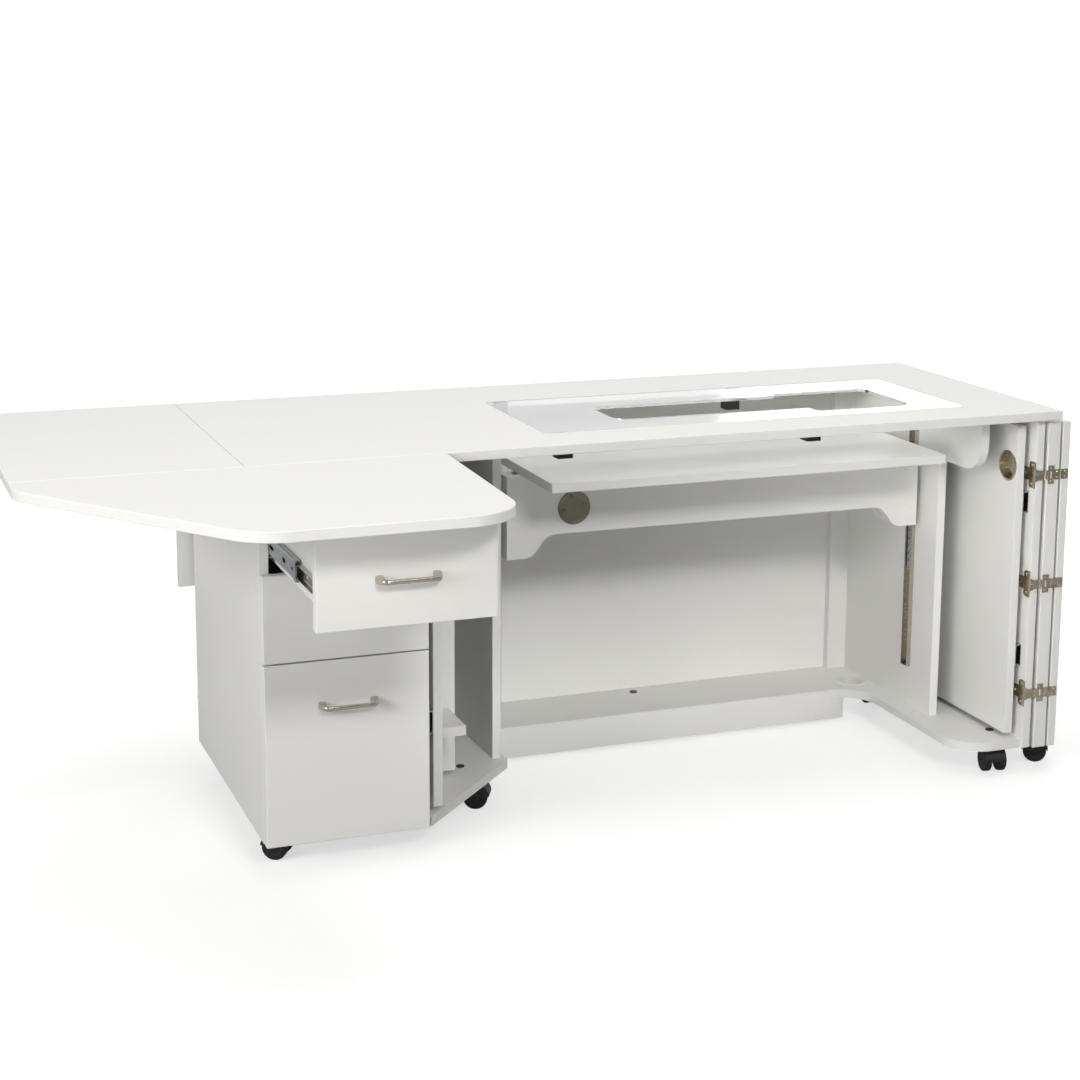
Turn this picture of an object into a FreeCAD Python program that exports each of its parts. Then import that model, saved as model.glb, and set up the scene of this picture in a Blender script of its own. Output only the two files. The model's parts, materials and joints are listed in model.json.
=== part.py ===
"""Sewing cabinet: a wide table on a three-drawer pedestal with a lift platform,
two pull-out storage panels, fold-over leaves and a folding side door."""
import FreeCAD
import Part
import math
import os

V = FreeCAD.Vector

# Boards and table top. X runs right from the seam of the left leaf, Y runs back, Z up.
board = 18.0
table_height = 760.0
top_length = 1648.0
top_depth = 650.0
top_corner = 6.0
edge_round = 1.5
seam = 0.6
top_under = table_height - board
overrun = 5.0

# Fold-over leaves on the left and at the front, both level with the top
left_reach = 396.0
left_leaf_corner = 60.0
front_leaf_side = 66.0
front_leaf_nose_x = -88.0
front_leaf_nose_depth = 486.0
front_leaf_tip_x = 345.0
front_leaf_tip_depth = 482.0
front_leaf_seam_end = 361.0
front_leaf_side_round = 80.0
front_leaf_nose_round = 105.0
front_leaf_tip_round = 98.0

# Hanging rear leaf and its knuckle hinges
rear_leaf_length = top_length
rear_leaf_drop = 358.0
rear_axis_out = 0.5
rear_axis_below = 2.0
rear_leaf_joint = 1.5
rear_knuckle_radius = 1.8
rear_pin_radius = 1.0
pin_clear = 0.05
rear_hinge_length = 60.0
rear_hinge_leaf = 22.0
rear_hinge_shares = (0.1, 0.5, 0.9)

# Opening in the top and its clear insert
opening_left = 590.0
opening_right_margin = 158.0
opening_front = 112.0
opening_back_margin = 185.0
opening_corner = 10.0
opening_right = top_length - opening_right_margin
opening_back = top_depth - opening_back_margin
insert_clear = 0.5
insert_thick = 6.0
bed_corner = 28.0
bed_left_share = 0.2
bed_right_share = 0.9
tower_left_share = 0.661
bed_front_share = 0.25
bed_back_share = 0.66
tower_front_share = 0.142
tower_back_share = 0.725

# Clips that carry the insert
clip_width = 30.0
clip_plate = 28.0
clip_seat = 20.0
clip_lip = 9.0
clip_shares = (0.02, 0.595)

# Carcass
side_inset = 28.0
pedestal_right = 334.0
carcass_right = top_length - side_inset
front_line = 18.0
drawer_gap = 2.0
carcass_front = front_line + board + drawer_gap
side_panel_front = 20.0
rear_overhang = 18.0
back_inset = 7.0
carcass_rear = top_depth - rear_overhang
back_face = carcass_rear - board - back_inset
floor_under = 57.0
floor_top = floor_under + board
side_right_inner = carcass_right - board

# Partitions that carry the lift, one beside each store
left_store_width = 209.0
right_store_width = 84.0
left_partition_x = pedestal_right + left_store_width
right_partition_x = side_right_inner - right_store_width - board
left_partition_front = 276.0
right_partition_front = 217.0
ear_front = 62.0
ear_drop = 111.0
ear_low = top_under - ear_drop
ear_round = 56.0
ear_inner_round = 15.0
corner_post_width = 45.0

# Floor board outline
wing_reach = 10.0
wing_tip_x = left_partition_x + board + wing_reach
wing_tip_y = 265.0
floor_start_y = 20.0
knee_depth = 163.0
knee_line = back_face - knee_depth
right_wing_reach = 40.0
right_wing_x = right_partition_x - right_wing_reach
right_wing_front = 25.0
right_wing_nose = 75.0
right_wing_sweep = 75.0
rail_drop = 48.0
rail_setback = 1.0
rail_left_inset = 20.0
rail_right_inset = 40.0
rail_left = wing_tip_x + rail_left_inset
rail_right = right_wing_x - rail_right_inset

# Telescopic slides: nested channels with a running clearance
rail_height = 45.0
rail_space = 13.0
rail_wall = 1.2
rail_clear = 0.3
rail_lip_share = 0.7
rail_setin = 2.0
drawer_rail_short = 20.0
pull_rail_short = 70.0

# Drawers, stacked down from the top; the lowest takes what is left
front_margin = 1.0
box_wall = 12.0
box_floor = 8.0
box_front = front_line + board
box_rear_gap = 51.0
box_length = back_face - box_front - box_rear_gap
drawer_rail_length = box_length - drawer_rail_short
drawer_drop = 1.0
drawer_top_gap = 7.0
drawer_row_gap = 3.0
top_front_height = 175.0
middle_front_height = 160.0
drawer_high = top_under - drawer_top_gap
top_front_low = drawer_high - top_front_height
middle_front_high = top_front_low - drawer_row_gap
middle_front_low = middle_front_high - middle_front_height
bottom_front_high = middle_front_low - drawer_row_gap
bottom_front_low = floor_under - drawer_drop
bottom_box_under = 26.0
bottom_box_over = 54.0
bottom_handle_below = 81.5
middle_box_under = 15.0
middle_box_over = 27.0
middle_handle_below = 73.0
top_box_under = 14.0
top_box_over = 23.0
top_handle_below = 95.5
drawer_rail_rise = 34.0
handle_centres = 96.0
handle_bar = 10.0
handle_thick = 7.0
handle_reach = 28.0
handle_edge = 1.2
top_drawer_pull = 380.0

# Pull-out panels
pull_front = 40.0
pull_rear_gap = 47.0
pull_length = back_face - pull_front - pull_rear_gap
pull_rail_length = pull_length - pull_rail_short
pull_floor_gap = 11.0
pull_top_gap = 16.0
pull_low = floor_top + pull_floor_gap
pull_high = top_under - pull_top_gap
pull_rail_shares = (0.256, 0.756)
shelf_front = 100.0
shelf_low = 196.0
shelf_width = 65.0
upright_front = 215.0
upright_width = 80.0
upright_drop = 26.0
upright_high = pull_high - upright_drop
cup_radius = 31.0
cup_inset = 32.0
cup_drop = 85.0
cup_y = pull_front + cup_inset
cup_z = pull_high - cup_drop
cup_rim = 3.0
cup_depth = 11.0
cup_lip = 1.2
cup_wall = 1.2

# Lift: a platform that fits the opening, on a frame between the partitions
lift_behind = 25.5
lift_y = (opening_front + opening_back) / 2 + lift_behind
apron_left = left_partition_x + board + rail_space
apron_right = right_partition_x - rail_space
platform_left_inset = 31.0
platform_right_inset = 36.0
platform_left = apron_left + platform_left_inset
platform_right = apron_right - platform_right_inset
platform_clear = 1.5
platform_front = opening_front + platform_clear
platform_back = opening_back - platform_clear
platform_drop = 98.0
platform_top = table_height - platform_drop
platform_low = platform_top - board
apron_half_gap = 17.0
ear_depth = 166.0
apron_depth = 121.5
ear_bottom = platform_low - ear_depth
apron_bottom = platform_low - apron_depth
ear_length = 52.0
sweep_length = 33.0
ear_curve = 28.0
sweep_curve = 32.0
lift_rail_height = 25.0
lift_rail_low = 160.0
lift_rail_top_gap = 17.0
lift_rail_high = top_under - lift_rail_top_gap
plate_inset = 140.0
plate_drop = 70.4
plate_x = apron_left + plate_inset
plate_z = platform_low - plate_drop
plate_radius = 34.0
plate_thick = 2.0
plate_screw_radius = 3.2
plate_screw_ring = 22.0
plate_screw_head = 1.0
screw_count = 4
cap_radius = 5.0
cap_thick = 1.2
cap_inset = 10.7
cap_rise = 37.0

# Grommet and caps in the floor board
grommet_side_gap = 41.0
grommet_back_gap = 119.0
grommet_x = right_partition_x - grommet_side_gap
grommet_y = back_face - grommet_back_gap
grommet_radius = 30.0
grommet_rim = 6.0
grommet_rise = 2.0
floor_cap_radius = 8.0
rear_cap_share = 0.461
rear_cap_inset = 30.0
right_cap_inset = 30.0
right_cap_y = 96.0
left_cap_inset = 73.0
left_cap_y = 258.0

# Side door, its post and their hinges
door_drop = 2.0
door_top_gap = 8.0
door_low = floor_under - door_drop
door_high = top_under - door_top_gap
post_gap = 7.5
post_width = 28.5
door_gap = 5.0
post_left = carcass_right + post_gap
post_right = post_left + post_width
door_left = post_right + door_gap
door_right = door_left + board
door_front = front_line
door_rear_gap = 22.0
door_width = carcass_rear - door_front - door_rear_gap
axis_a_out = 3.3
axis_ahead = 1.0
axis_a_x = carcass_right + axis_a_out
axis_b_x = post_right + door_gap / 2
axis_y = front_line - axis_ahead
hinge_shares = (0.174, 0.5125, 0.844)
strap_height = 18.0
strap_thick = 2.0
strap_face = 1.0
strap_root = 26.0
strap_taper = 9.0
hinge_gap = 0.3
plate_height = 54.0
plate_depth = 20.0
plate_tail = 42.0
plate_corner = 7.0
knuckle_a_radius = 3.0
knuckle_b_radius = 2.2
hinge_pin_share = 0.5
window_plate_inset = 1.5
window_plate_width = 14.0
window_plate_height = 37.0
window_width = 4.4
window_height = 14.0
arm_height = 20.0
arm_inset = 0.5
door_leaf_reach = 14.0

# Twin-wheel casters
wheel_radius = 24.0
wheel_width = 15.0
fin_thick = 15.0
wheel_gap = 0.6
wheel_edge = 3.0
axle_radius = 3.0
trail = 16.0
hood_wall = 2.4
hood_clear = 0.8
hood_width = 42.0
caster_plate = 4.0
caster_plate_half = 20.0
swivel_radius = 2.5
swivel_length = 12.0
swivel_gap = 0.5
stem_width = 14.0
fin_boss = 8.0
hood_low = 26.0
front_caster_inset = 56.0
front_caster_y = 107.0
front_caster_turn = 237.5
inner_caster_inset = 62.0
inner_caster_y = 241.0
inner_caster_turn = 64.0
right_caster_inset = 38.0
right_caster_y = 80.0
right_caster_turn = -10.6
door_caster_turn = 55.6
stem_seat = 20.0
rear_caster_gap = 47.0
rear_left_caster_inset = 62.0
rear_right_caster_inset = 52.0
rear_caster_y = back_face - rear_caster_gap
casters = {
    "front_left": (side_inset + front_caster_inset, front_caster_y, front_caster_turn),
    "inner_left": (left_partition_x - inner_caster_inset, inner_caster_y, inner_caster_turn),
    "front_right": (side_right_inner - right_caster_inset, right_caster_y, right_caster_turn),
    "rear_left": (side_inset + rear_left_caster_inset, rear_caster_y, 0),
    "rear_right": (side_right_inner - rear_right_caster_inset, rear_caster_y, 0),
}
door_caster_inset = 85.0
door_caster_y = door_front + door_caster_inset

# Rear hinge line
rear_axis_y = top_depth + rear_axis_out
rear_axis_z = top_under - rear_axis_below
rear_leaf_face = rear_axis_y + rear_axis_below


def box(x0, x1, y0, y1, z0, z1):
    return Part.makeBox(x1 - x0, y1 - y0, z1 - z0, V(x0, y0, z0))


def rod(x, y, z, radius, length, way):
    return Part.makeCylinder(radius, length, V(x, y, z), way)


def fuse(shapes):
    whole = shapes[0]
    for shape in shapes[1:]:
        whole = whole.fuse(shape)
    return whole.removeSplitter()


def corner(before, at, after, radius):
    """Tangent points and middle of the arc that rounds one corner."""
    into = (before - at).normalize()
    out = (after - at).normalize()
    half = into.getAngle(out) / 2
    reach = radius / math.tan(half)
    centre = at + (into + out).normalize() * (radius / math.sin(half))
    middle = centre + (at - centre).normalize() * radius
    return at + into * reach, middle, at + out * reach


def rounded_face(points, lift):
    """A flat face from (u, v, corner radius) points; lift maps u, v to space."""
    spots = [lift(u, v) for u, v, radius in points]
    edges = []
    starts = []
    ends = []
    for i, point in enumerate(points):
        radius = point[-1]
        before = spots[i - 1]
        after = spots[(i + 1) % len(spots)]
        if radius > 0:
            first, middle, last = corner(before, spots[i], after, radius)
            edges.append(Part.Arc(first, middle, last).toShape())
        else:
            first = spots[i]
            last = spots[i]
        starts.append(first)
        ends.append(last)
    for i in range(len(spots)):
        after = starts[(i + 1) % len(spots)]
        if (ends[i] - after).Length > pin_clear:
            edges.append(Part.LineSegment(ends[i], after).toShape())
    wire = Part.Wire(Part.__sortEdges__(edges))
    return Part.Face(wire)


def slab(points, low, high):
    """A level board of the given outline."""
    return rounded_face(points, lambda u, v: V(u, v, low)).extrude(V(0, 0, high - low))


def upright_x(points, x0, x1):
    """A board standing across X, outline in Y and Z."""
    return rounded_face(points, lambda u, v: V(x0, u, v)).extrude(V(x1 - x0, 0, 0))


def upright_y(points, y0, y1):
    """A board standing across Y, outline in X and Z."""
    return rounded_face(points, lambda u, v: V(u, y0, v)).extrude(V(0, y1 - y0, 0))


def soften(shape, low, high):
    """Round the level edges of a board at its two faces."""
    edges = []
    for edge in shape.Edges:
        span = edge.BoundBox
        flat = span.ZLength < pin_clear
        if flat and (abs(span.ZMin - low) < pin_clear or abs(span.ZMin - high) < pin_clear):
            edges.append(edge)
    return shape.makeFillet(edge_round, edges)


def soften_front(shape, face):
    """Round the edges of the front face of a standing board."""
    edges = []
    for edge in shape.Edges:
        span = edge.BoundBox
        if span.YLength < pin_clear and abs(span.YMin - face) < pin_clear:
            edges.append(edge)
    return shape.makeFillet(edge_round, edges)


nodes = {}


def keep(name, shapes):
    """Keep the pieces of one node."""
    nodes[name] = shapes[0] if len(shapes) == 1 else Part.makeCompound(shapes)


def channel(x0, x1, y0, y1, z_mid, height, open_right, lip):
    """A rail running along Y: an upright web with lips above and below."""
    low = z_mid - height / 2
    high = z_mid + height / 2
    if open_right:
        hollow = box(x0 + rail_wall, x0 + lip + overrun, y0 - overrun, y1 + overrun, low + rail_wall, high - rail_wall)
        outside = box(x0, x0 + lip, y0, y1, low, high)
    else:
        hollow = box(x1 - lip - overrun, x1 - rail_wall, y0 - overrun, y1 + overrun, low + rail_wall, high - rail_wall)
        outside = box(x1 - lip, x1, y0, y1, low, high)
    return outside.cut(hollow)


rail_lip = rail_space * rail_lip_share
nest = rail_wall + rail_clear
mid_rail_height = rail_height - nest * 2
inner_rail_height = mid_rail_height - nest * 2


def rail_three(carcass_x, box_x, y0, y1, z_mid, mid_shift, inner_shift):
    """Outer, middle and inner rail between a carcass side and a drawer side."""
    right = box_x > carcass_x
    side = 1 if right else -1
    x0 = min(carcass_x, box_x)
    x1 = max(carcass_x, box_x)
    outer = channel(x0, x1, y0, y1, z_mid, rail_height, right, rail_lip)
    middle = channel(x0 + side * nest, x1 + side * nest, y0 - mid_shift, y1 - mid_shift, z_mid,
                     mid_rail_height, right, rail_lip)
    inner = channel(x0, x1, y0 - inner_shift, y1 - inner_shift, z_mid, inner_rail_height, not right, rail_lip)
    return outer, middle, inner


def rail_two(carcass_x, panel_x, y0, y1, z_mid):
    """Outer and inner rail between a carcass side and a pull-out panel."""
    right = panel_x > carcass_x
    x0 = min(carcass_x, panel_x)
    x1 = max(carcass_x, panel_x)
    outer = channel(x0, x1, y0, y1, z_mid, rail_height, right, rail_lip)
    inner = channel(x0, x1, y0, y1, z_mid, mid_rail_height, not right, rail_lip)
    return outer, inner


outer_rails = []

# Main top with its opening over the lift
top_outline = [(0, 0, 0), (top_length, 0, top_corner), (top_length, top_depth, top_corner), (0, top_depth, 0)]
opening_outline = [
    (opening_left, opening_front, opening_corner),
    (opening_right, opening_front, opening_corner),
    (opening_right, opening_back, opening_corner),
    (opening_left, opening_back, opening_corner),
]
main_top = soften(slab(top_outline, top_under, table_height), top_under, table_height)
main_top = main_top.cut(slab(opening_outline, top_under - overrun, table_height + overrun))
keep("main_top", [main_top])

# Left leaf and the front leaf with its slanted nose
left_leaf_outline = [
    (-left_reach, 0, 0),
    (-seam, 0, 0),
    (-seam, top_depth, 0),
    (-left_reach, top_depth, left_leaf_corner),
]
keep("left_leaf", [soften(slab(left_leaf_outline, top_under, table_height), top_under, table_height)])
front_leaf_outline = [
    (-left_reach, -seam, 0),
    (-left_reach, -front_leaf_side, front_leaf_side_round),
    (front_leaf_nose_x, -front_leaf_nose_depth, front_leaf_nose_round),
    (front_leaf_tip_x, -front_leaf_tip_depth, front_leaf_tip_round),
    (front_leaf_seam_end, -seam, 0),
]
keep("front_leaf", [soften(slab(front_leaf_outline, top_under, table_height), top_under, table_height)])

# Rear leaf hanging behind the top
rear_leaf_top = rear_axis_z - rear_leaf_joint
rear_leaf = box(0, rear_leaf_length, rear_leaf_face, rear_leaf_face + board, rear_leaf_top - rear_leaf_drop, rear_leaf_top)
rear_leaf = soften_front(rear_leaf, rear_leaf_face + board)
keep("rear_leaf", [rear_leaf])
fixed_leaves = []
hung_leaves = []
along = V(1, 0, 0)
half_knuckle = rear_hinge_length / 2
for share in rear_hinge_shares:
    x0 = rear_leaf_length * share - half_knuckle
    x1 = x0 + rear_hinge_length
    xm = x0 + half_knuckle
    plate_low = rear_axis_z - rear_pin_radius + rear_leaf_joint
    fixed = box(x0, xm - rail_clear, rear_axis_y - rear_hinge_leaf, rear_axis_y, plate_low, top_under)
    fixed = fixed.fuse(rod(x0, rear_axis_y, rear_axis_z, rear_knuckle_radius, half_knuckle - rail_clear, along))
    fixed = fixed.cut(box(x0, xm, rear_axis_y, rear_axis_y + overrun, rear_axis_z + rear_knuckle_radius, table_height))
    fixed = fixed.fuse(rod(x0, rear_axis_y, rear_axis_z, rear_pin_radius, rear_hinge_length, along))
    fixed_leaves.append(fixed.removeSplitter())
    hung_face = rear_axis_y + rear_pin_radius / 2
    hung = box(xm, x1, hung_face, rear_leaf_face, rear_leaf_top - rear_hinge_leaf, rear_axis_z)
    hung = hung.fuse(rod(xm, rear_axis_y, rear_axis_z, rear_knuckle_radius, half_knuckle, along))
    hung = hung.cut(rod(xm - overrun, rear_axis_y, rear_axis_z, rear_pin_radius + pin_clear,
                        rear_hinge_length, along))
    hung_leaves.append(hung.removeSplitter())
keep("rear_leaf_hinges_fixed", fixed_leaves)
keep("rear_leaf_hinges_hung", hung_leaves)

# Clear insert with a stepped cut-out
insert_outline = [
    (opening_left + insert_clear, opening_front + insert_clear, opening_corner - insert_clear),
    (opening_right - insert_clear, opening_front + insert_clear, opening_corner - insert_clear),
    (opening_right - insert_clear, opening_back - insert_clear, opening_corner - insert_clear),
    (opening_left + insert_clear, opening_back - insert_clear, opening_corner - insert_clear),
]
opening_width = opening_right - opening_left
opening_depth = opening_back - opening_front
bed_left = opening_left + opening_width * bed_left_share
bed_right = opening_left + opening_width * bed_right_share
tower_left = opening_left + opening_width * tower_left_share
bed_front = opening_front + opening_depth * bed_front_share
bed_back = opening_front + opening_depth * bed_back_share
tower_front = opening_front + opening_depth * tower_front_share
tower_back = opening_front + opening_depth * tower_back_share
bed_outline = [
    (bed_left, bed_front, bed_corner),
    (tower_left, bed_front, 0),
    (tower_left, tower_front, 0),
    (bed_right, tower_front, bed_corner),
    (bed_right, tower_back, bed_corner),
    (tower_left, tower_back, 0),
    (tower_left, bed_back, 0),
    (bed_left, bed_back, bed_corner),
]
insert_low = table_height - insert_thick
insert_plate = slab(insert_outline, insert_low, table_height)
insert_plate = insert_plate.cut(slab(bed_outline, insert_low - overrun, table_height + overrun))
keep("insert_plate", [insert_plate])

# Plastic fittings: insert clips and floor caps, and the grommet in the floor
fittings = []


def clip(x, y, out):
    """A clip under the top whose lip carries the insert; out points into the opening."""
    y0 = min(y - out * clip_seat, y + out * clip_lip)
    y1 = max(y - out * clip_seat, y + out * clip_lip)
    plate = box(x, x + clip_width, y0, y1, top_under - clip_plate, top_under)
    lip0 = min(y + out * insert_clear, y + out * clip_lip)
    lip1 = max(y + out * insert_clear, y + out * clip_lip)
    return plate.fuse(box(x, x + clip_width, lip0, lip1, top_under - clip_plate, insert_low)).removeSplitter()


for share in clip_shares:
    clip_x = opening_left + opening_width * share
    fittings.append(clip(clip_x, opening_front, 1))
    fittings.append(clip(clip_x, opening_back, -1))
grommet = rod(grommet_x, grommet_y, floor_under, grommet_radius, board, V(0, 0, 1))
grommet = grommet.fuse(rod(grommet_x, grommet_y, floor_top, grommet_radius + grommet_rim, grommet_rise, V(0, 0, 1)))
grommet = grommet.cut(rod(grommet_x, grommet_y, floor_under - overrun, grommet_radius - grommet_rise,
                          board + grommet_rise + overrun * 2, V(0, 0, 1)))
keep("floor_grommet", [grommet.removeSplitter()])
floor_cap_spots = (
    (rail_left + (rail_right - rail_left) * rear_cap_share, back_face - rear_cap_inset),
    (side_right_inner - right_cap_inset, right_cap_y),
    (left_partition_x - left_cap_inset, left_cap_y),
)
for cap_x, cap_y in floor_cap_spots:
    fittings.append(rod(cap_x, cap_y, floor_top, floor_cap_radius, grommet_rise, V(0, 0, 1)))
keep("plastic_fittings", fittings)

# Carcass boards
pedestal_inner_left = side_inset + board
pedestal_inner_right = pedestal_right - board
left_side = box(side_inset, pedestal_inner_left, carcass_front, carcass_rear, floor_under, top_under)
keep("pedestal_left_side", [soften_front(left_side, carcass_front)])
right_wall = box(pedestal_inner_right, pedestal_right, carcass_front, back_face, floor_top, top_under)
keep("pedestal_right_side", [soften_front(right_wall, carcass_front)])
right_side = box(side_right_inner, carcass_right, side_panel_front, carcass_rear, floor_under, top_under)
keep("right_side", [soften_front(right_side, side_panel_front)])
back_panel = box(pedestal_inner_left, side_right_inner, back_face, back_face + board, floor_under, top_under)
corner_post = box(right_partition_x - corner_post_width, right_partition_x, back_face - board, back_face, floor_top, top_under)
keep("back_panel", [back_panel, corner_post])

# Floor board with a slanted left wing and a rounded right wing
floor_outline = [
    (pedestal_inner_left, carcass_front, 0),
    (pedestal_right, carcass_front, 0),
    (pedestal_right + drawer_gap, floor_start_y, 0),
    (wing_tip_x, wing_tip_y, 0),
    (wing_tip_x, knee_line, 0),
    (right_wing_x, knee_line, right_wing_sweep),
    (right_wing_x, right_wing_front, right_wing_nose),
    (side_right_inner, right_wing_front, 0),
    (side_right_inner, back_face, 0),
    (pedestal_inner_left, back_face, 0),
]
floor = slab(floor_outline, floor_under, floor_top)
floor = floor.cut(rod(grommet_x, grommet_y, floor_under - overrun, grommet_radius, board + overrun * 2, V(0, 0, 1)))
rail_y = knee_line + rail_setback
base_rail = box(rail_left, rail_right, rail_y, rail_y + board, floor_under - rail_drop, floor_under)
keep("floor_board", [floor, base_rail])


# Partitions: a plain board on the left, one with a forward ear at the top on the right
left_partition_inner = left_partition_x + board
left_partition = box(left_partition_x, left_partition_inner, left_partition_front, back_face, floor_top, top_under)
keep("left_partition", [soften_front(left_partition, left_partition_front)])
ear_outline = [
    (back_face, floor_top, 0),
    (right_partition_front, floor_top, 0),
    (right_partition_front, ear_low, ear_inner_round),
    (ear_front, ear_low, ear_round),
    (ear_front, top_under, 0),
    (back_face, top_under, 0),
]
keep("right_partition", [upright_x(ear_outline, right_partition_x, right_partition_x + board)])

# Drawers
front_left = side_inset + front_margin
front_right = pedestal_right - front_margin
box_left = pedestal_inner_left + rail_space
box_right = pedestal_inner_right - rail_space
rail_front = carcass_front + rail_setin
front_middle = (front_left + front_right) / 2


def handle(z, face):
    """A square-ended bow handle standing off a drawer front."""
    half = handle_centres / 2 + handle_bar
    outside = face - handle_reach
    bar = box(front_middle - half, front_middle + half, outside, outside + handle_thick,
              z - handle_bar / 2, z + handle_bar / 2)
    legs = []
    for side in (-1, 1):
        centre = front_middle + side * handle_centres / 2
        legs.append(box(centre - handle_bar / 2, centre + handle_bar / 2, outside, face, z - handle_bar / 2,
                        z + handle_bar / 2))
    whole = fuse([bar] + legs)
    outer = [e for e in whole.Edges if e.BoundBox.YLength < pin_clear and abs(e.BoundBox.YMin - outside) < pin_clear]
    return whole.makeFillet(handle_edge, outer)


def drawer(name, low, high, box_low, box_high, handle_z, pull):
    front = box(front_left, front_right, front_line - pull, box_front - pull, low, high)
    keep(name + "_front", [soften_front(front, front_line - pull)])
    shell = box(box_left, box_right, box_front - pull, box_front - pull + box_length, box_low, box_high)
    hollow = box(box_left + box_wall, box_right - box_wall, box_front - pull + box_wall,
                 box_front - pull + box_length - box_wall, box_low + box_floor, box_high + overrun)
    keep(name + "_box", [shell.cut(hollow)])
    keep(name + "_handle", [handle(handle_z, front_line - pull)])
    z_mid = box_low + drawer_rail_rise
    rail_end = rail_front + drawer_rail_length
    middles = []
    inners = []
    for carcass_x, box_x in ((pedestal_inner_left, box_left), (pedestal_inner_right, box_right)):
        outer, middle, inner = rail_three(carcass_x, box_x, rail_front, rail_end, z_mid, pull / 2, pull)
        outer_rails.append(outer)
        middles.append(middle)
        inners.append(inner)
    keep(name + "_middle_rails", middles)
    keep(name + "_inner_rails", inners)


drawer("bottom_drawer", bottom_front_low, bottom_front_high, bottom_front_low + bottom_box_under,
       bottom_front_high - bottom_box_over, bottom_front_high - bottom_handle_below, 0)
drawer("middle_drawer", middle_front_low, middle_front_high, middle_front_low + middle_box_under,
       middle_front_high - middle_box_over, middle_front_high - middle_handle_below, 0)
drawer("top_drawer", top_front_low, drawer_high, top_front_low + top_box_under,
       drawer_high - top_box_over, drawer_high - top_handle_below, top_drawer_pull)

# Left pull-out panel with a shelf and an upright
left_panel_x = pedestal_right + rail_space
left_panel_inner = left_panel_x + board
left_panel = box(left_panel_x, left_panel_inner, pull_front, pull_front + pull_length, pull_low, pull_high)
keep("left_pullout_panel", [soften_front(left_panel, pull_front)])
keep("left_pullout_shelf", [
    box(left_panel_inner, left_panel_inner + shelf_width, shelf_front, upright_front, shelf_low, shelf_low + board),
    box(left_panel_inner, left_panel_inner + upright_width, upright_front, upright_front + board, pull_low, upright_high),
])
left_inners = []
pull_rail_end = rail_front + pull_rail_length
pull_rail_rows = [pull_low + (pull_high - pull_low) * share for share in pull_rail_shares]
for row in pull_rail_rows:
    outer, inner = rail_two(pedestal_right, left_panel_x, rail_front, pull_rail_end, row)
    outer_rails.append(outer)
    left_inners.append(inner)
keep("left_pullout_rails", left_inners)

# Right pull-out panel with a round finger cup
right_panel_right = side_right_inner - rail_space
right_panel_x = right_panel_right - board
right_panel = box(right_panel_x, right_panel_right, pull_front, pull_front + pull_length, pull_low, pull_high)
right_panel = soften_front(right_panel, pull_front)
right_panel = right_panel.cut(rod(right_panel_x - overrun, cup_y, cup_z, cup_radius - cup_rim,
                                  cup_depth + overrun, V(1, 0, 0)))
keep("right_pullout_panel", [right_panel])
cup = rod(right_panel_x - cup_lip, cup_y, cup_z, cup_radius, cup_lip, V(1, 0, 0))
cup = cup.fuse(rod(right_panel_x, cup_y, cup_z, cup_radius - cup_rim, cup_depth, V(1, 0, 0)))
cup = cup.cut(rod(right_panel_x - cup_lip - overrun, cup_y, cup_z, cup_radius - cup_rim - cup_wall,
                  cup_lip + cup_depth - cup_wall + overrun, V(1, 0, 0)))
keep("finger_cup", [cup.removeSplitter()])
right_inners = []
for row in pull_rail_rows:
    outer, inner = rail_two(side_right_inner, right_panel_right, rail_front, pull_rail_end, row)
    outer_rails.append(outer)
    right_inners.append(inner)
keep("right_pullout_rails", right_inners)

# Lift: platform on a frame of two swept aprons and two ends
platform = box(platform_left, platform_right, platform_front, platform_back, platform_low, platform_top)
keep("lift_platform", [soften_front(platform, platform_front)])
apron_outline = [
    (apron_left, platform_low, 0),
    (apron_left, ear_bottom, 0),
    (apron_left + ear_length, ear_bottom, ear_curve),
    (apron_left + ear_length + sweep_length, apron_bottom, sweep_curve),
    (apron_right - ear_length - sweep_length, apron_bottom, sweep_curve),
    (apron_right - ear_length, ear_bottom, ear_curve),
    (apron_right, ear_bottom, 0),
    (apron_right, platform_low, 0),
]
front_apron_face = lift_y - apron_half_gap - board
lift_frame = [
    upright_y(apron_outline, front_apron_face, front_apron_face + board),
    upright_y(apron_outline, lift_y + apron_half_gap, lift_y + apron_half_gap + board),
    box(apron_left, apron_left + board, lift_y - apron_half_gap, lift_y + apron_half_gap, ear_bottom, platform_low),
    box(apron_right - board, apron_right, lift_y - apron_half_gap, lift_y + apron_half_gap, ear_bottom, platform_low),
]
toward = V(0, -1, 0)
frame_pieces = [fuse(lift_frame)]
for cap_x in (apron_left + cap_inset, apron_right - cap_inset):
    frame_pieces.append(rod(cap_x, front_apron_face, ear_bottom + cap_rise, cap_radius, cap_thick, toward))
keep("lift_frame", frame_pieces)
disc = rod(plate_x, front_apron_face, plate_z, plate_radius, plate_thick, toward)
for i in range(screw_count):
    turn = math.pi * 2 * i / screw_count
    screw = rod(plate_x + plate_screw_ring * math.sin(turn), front_apron_face,
                plate_z + plate_screw_ring * math.cos(turn), plate_screw_radius,
                plate_thick + plate_screw_head, toward)
    disc = disc.fuse(screw)
keep("lift_round_plate", [disc.removeSplitter()])


def standing_channel(web_x, way, height, z0, z1):
    """A rail running along Z whose web stands at web_x and whose lips point along way."""
    low = lift_y - height / 2
    high = lift_y + height / 2
    tip = web_x + way * rail_lip
    outside = box(min(web_x, tip), max(web_x, tip), low, high, z0, z1)
    start = web_x + way * rail_wall
    end = tip + way * overrun
    hollow = box(min(start, end), max(start, end), low + rail_wall, high - rail_wall, z0 - overrun, z1 + overrun)
    return outside.cut(hollow)


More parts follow.
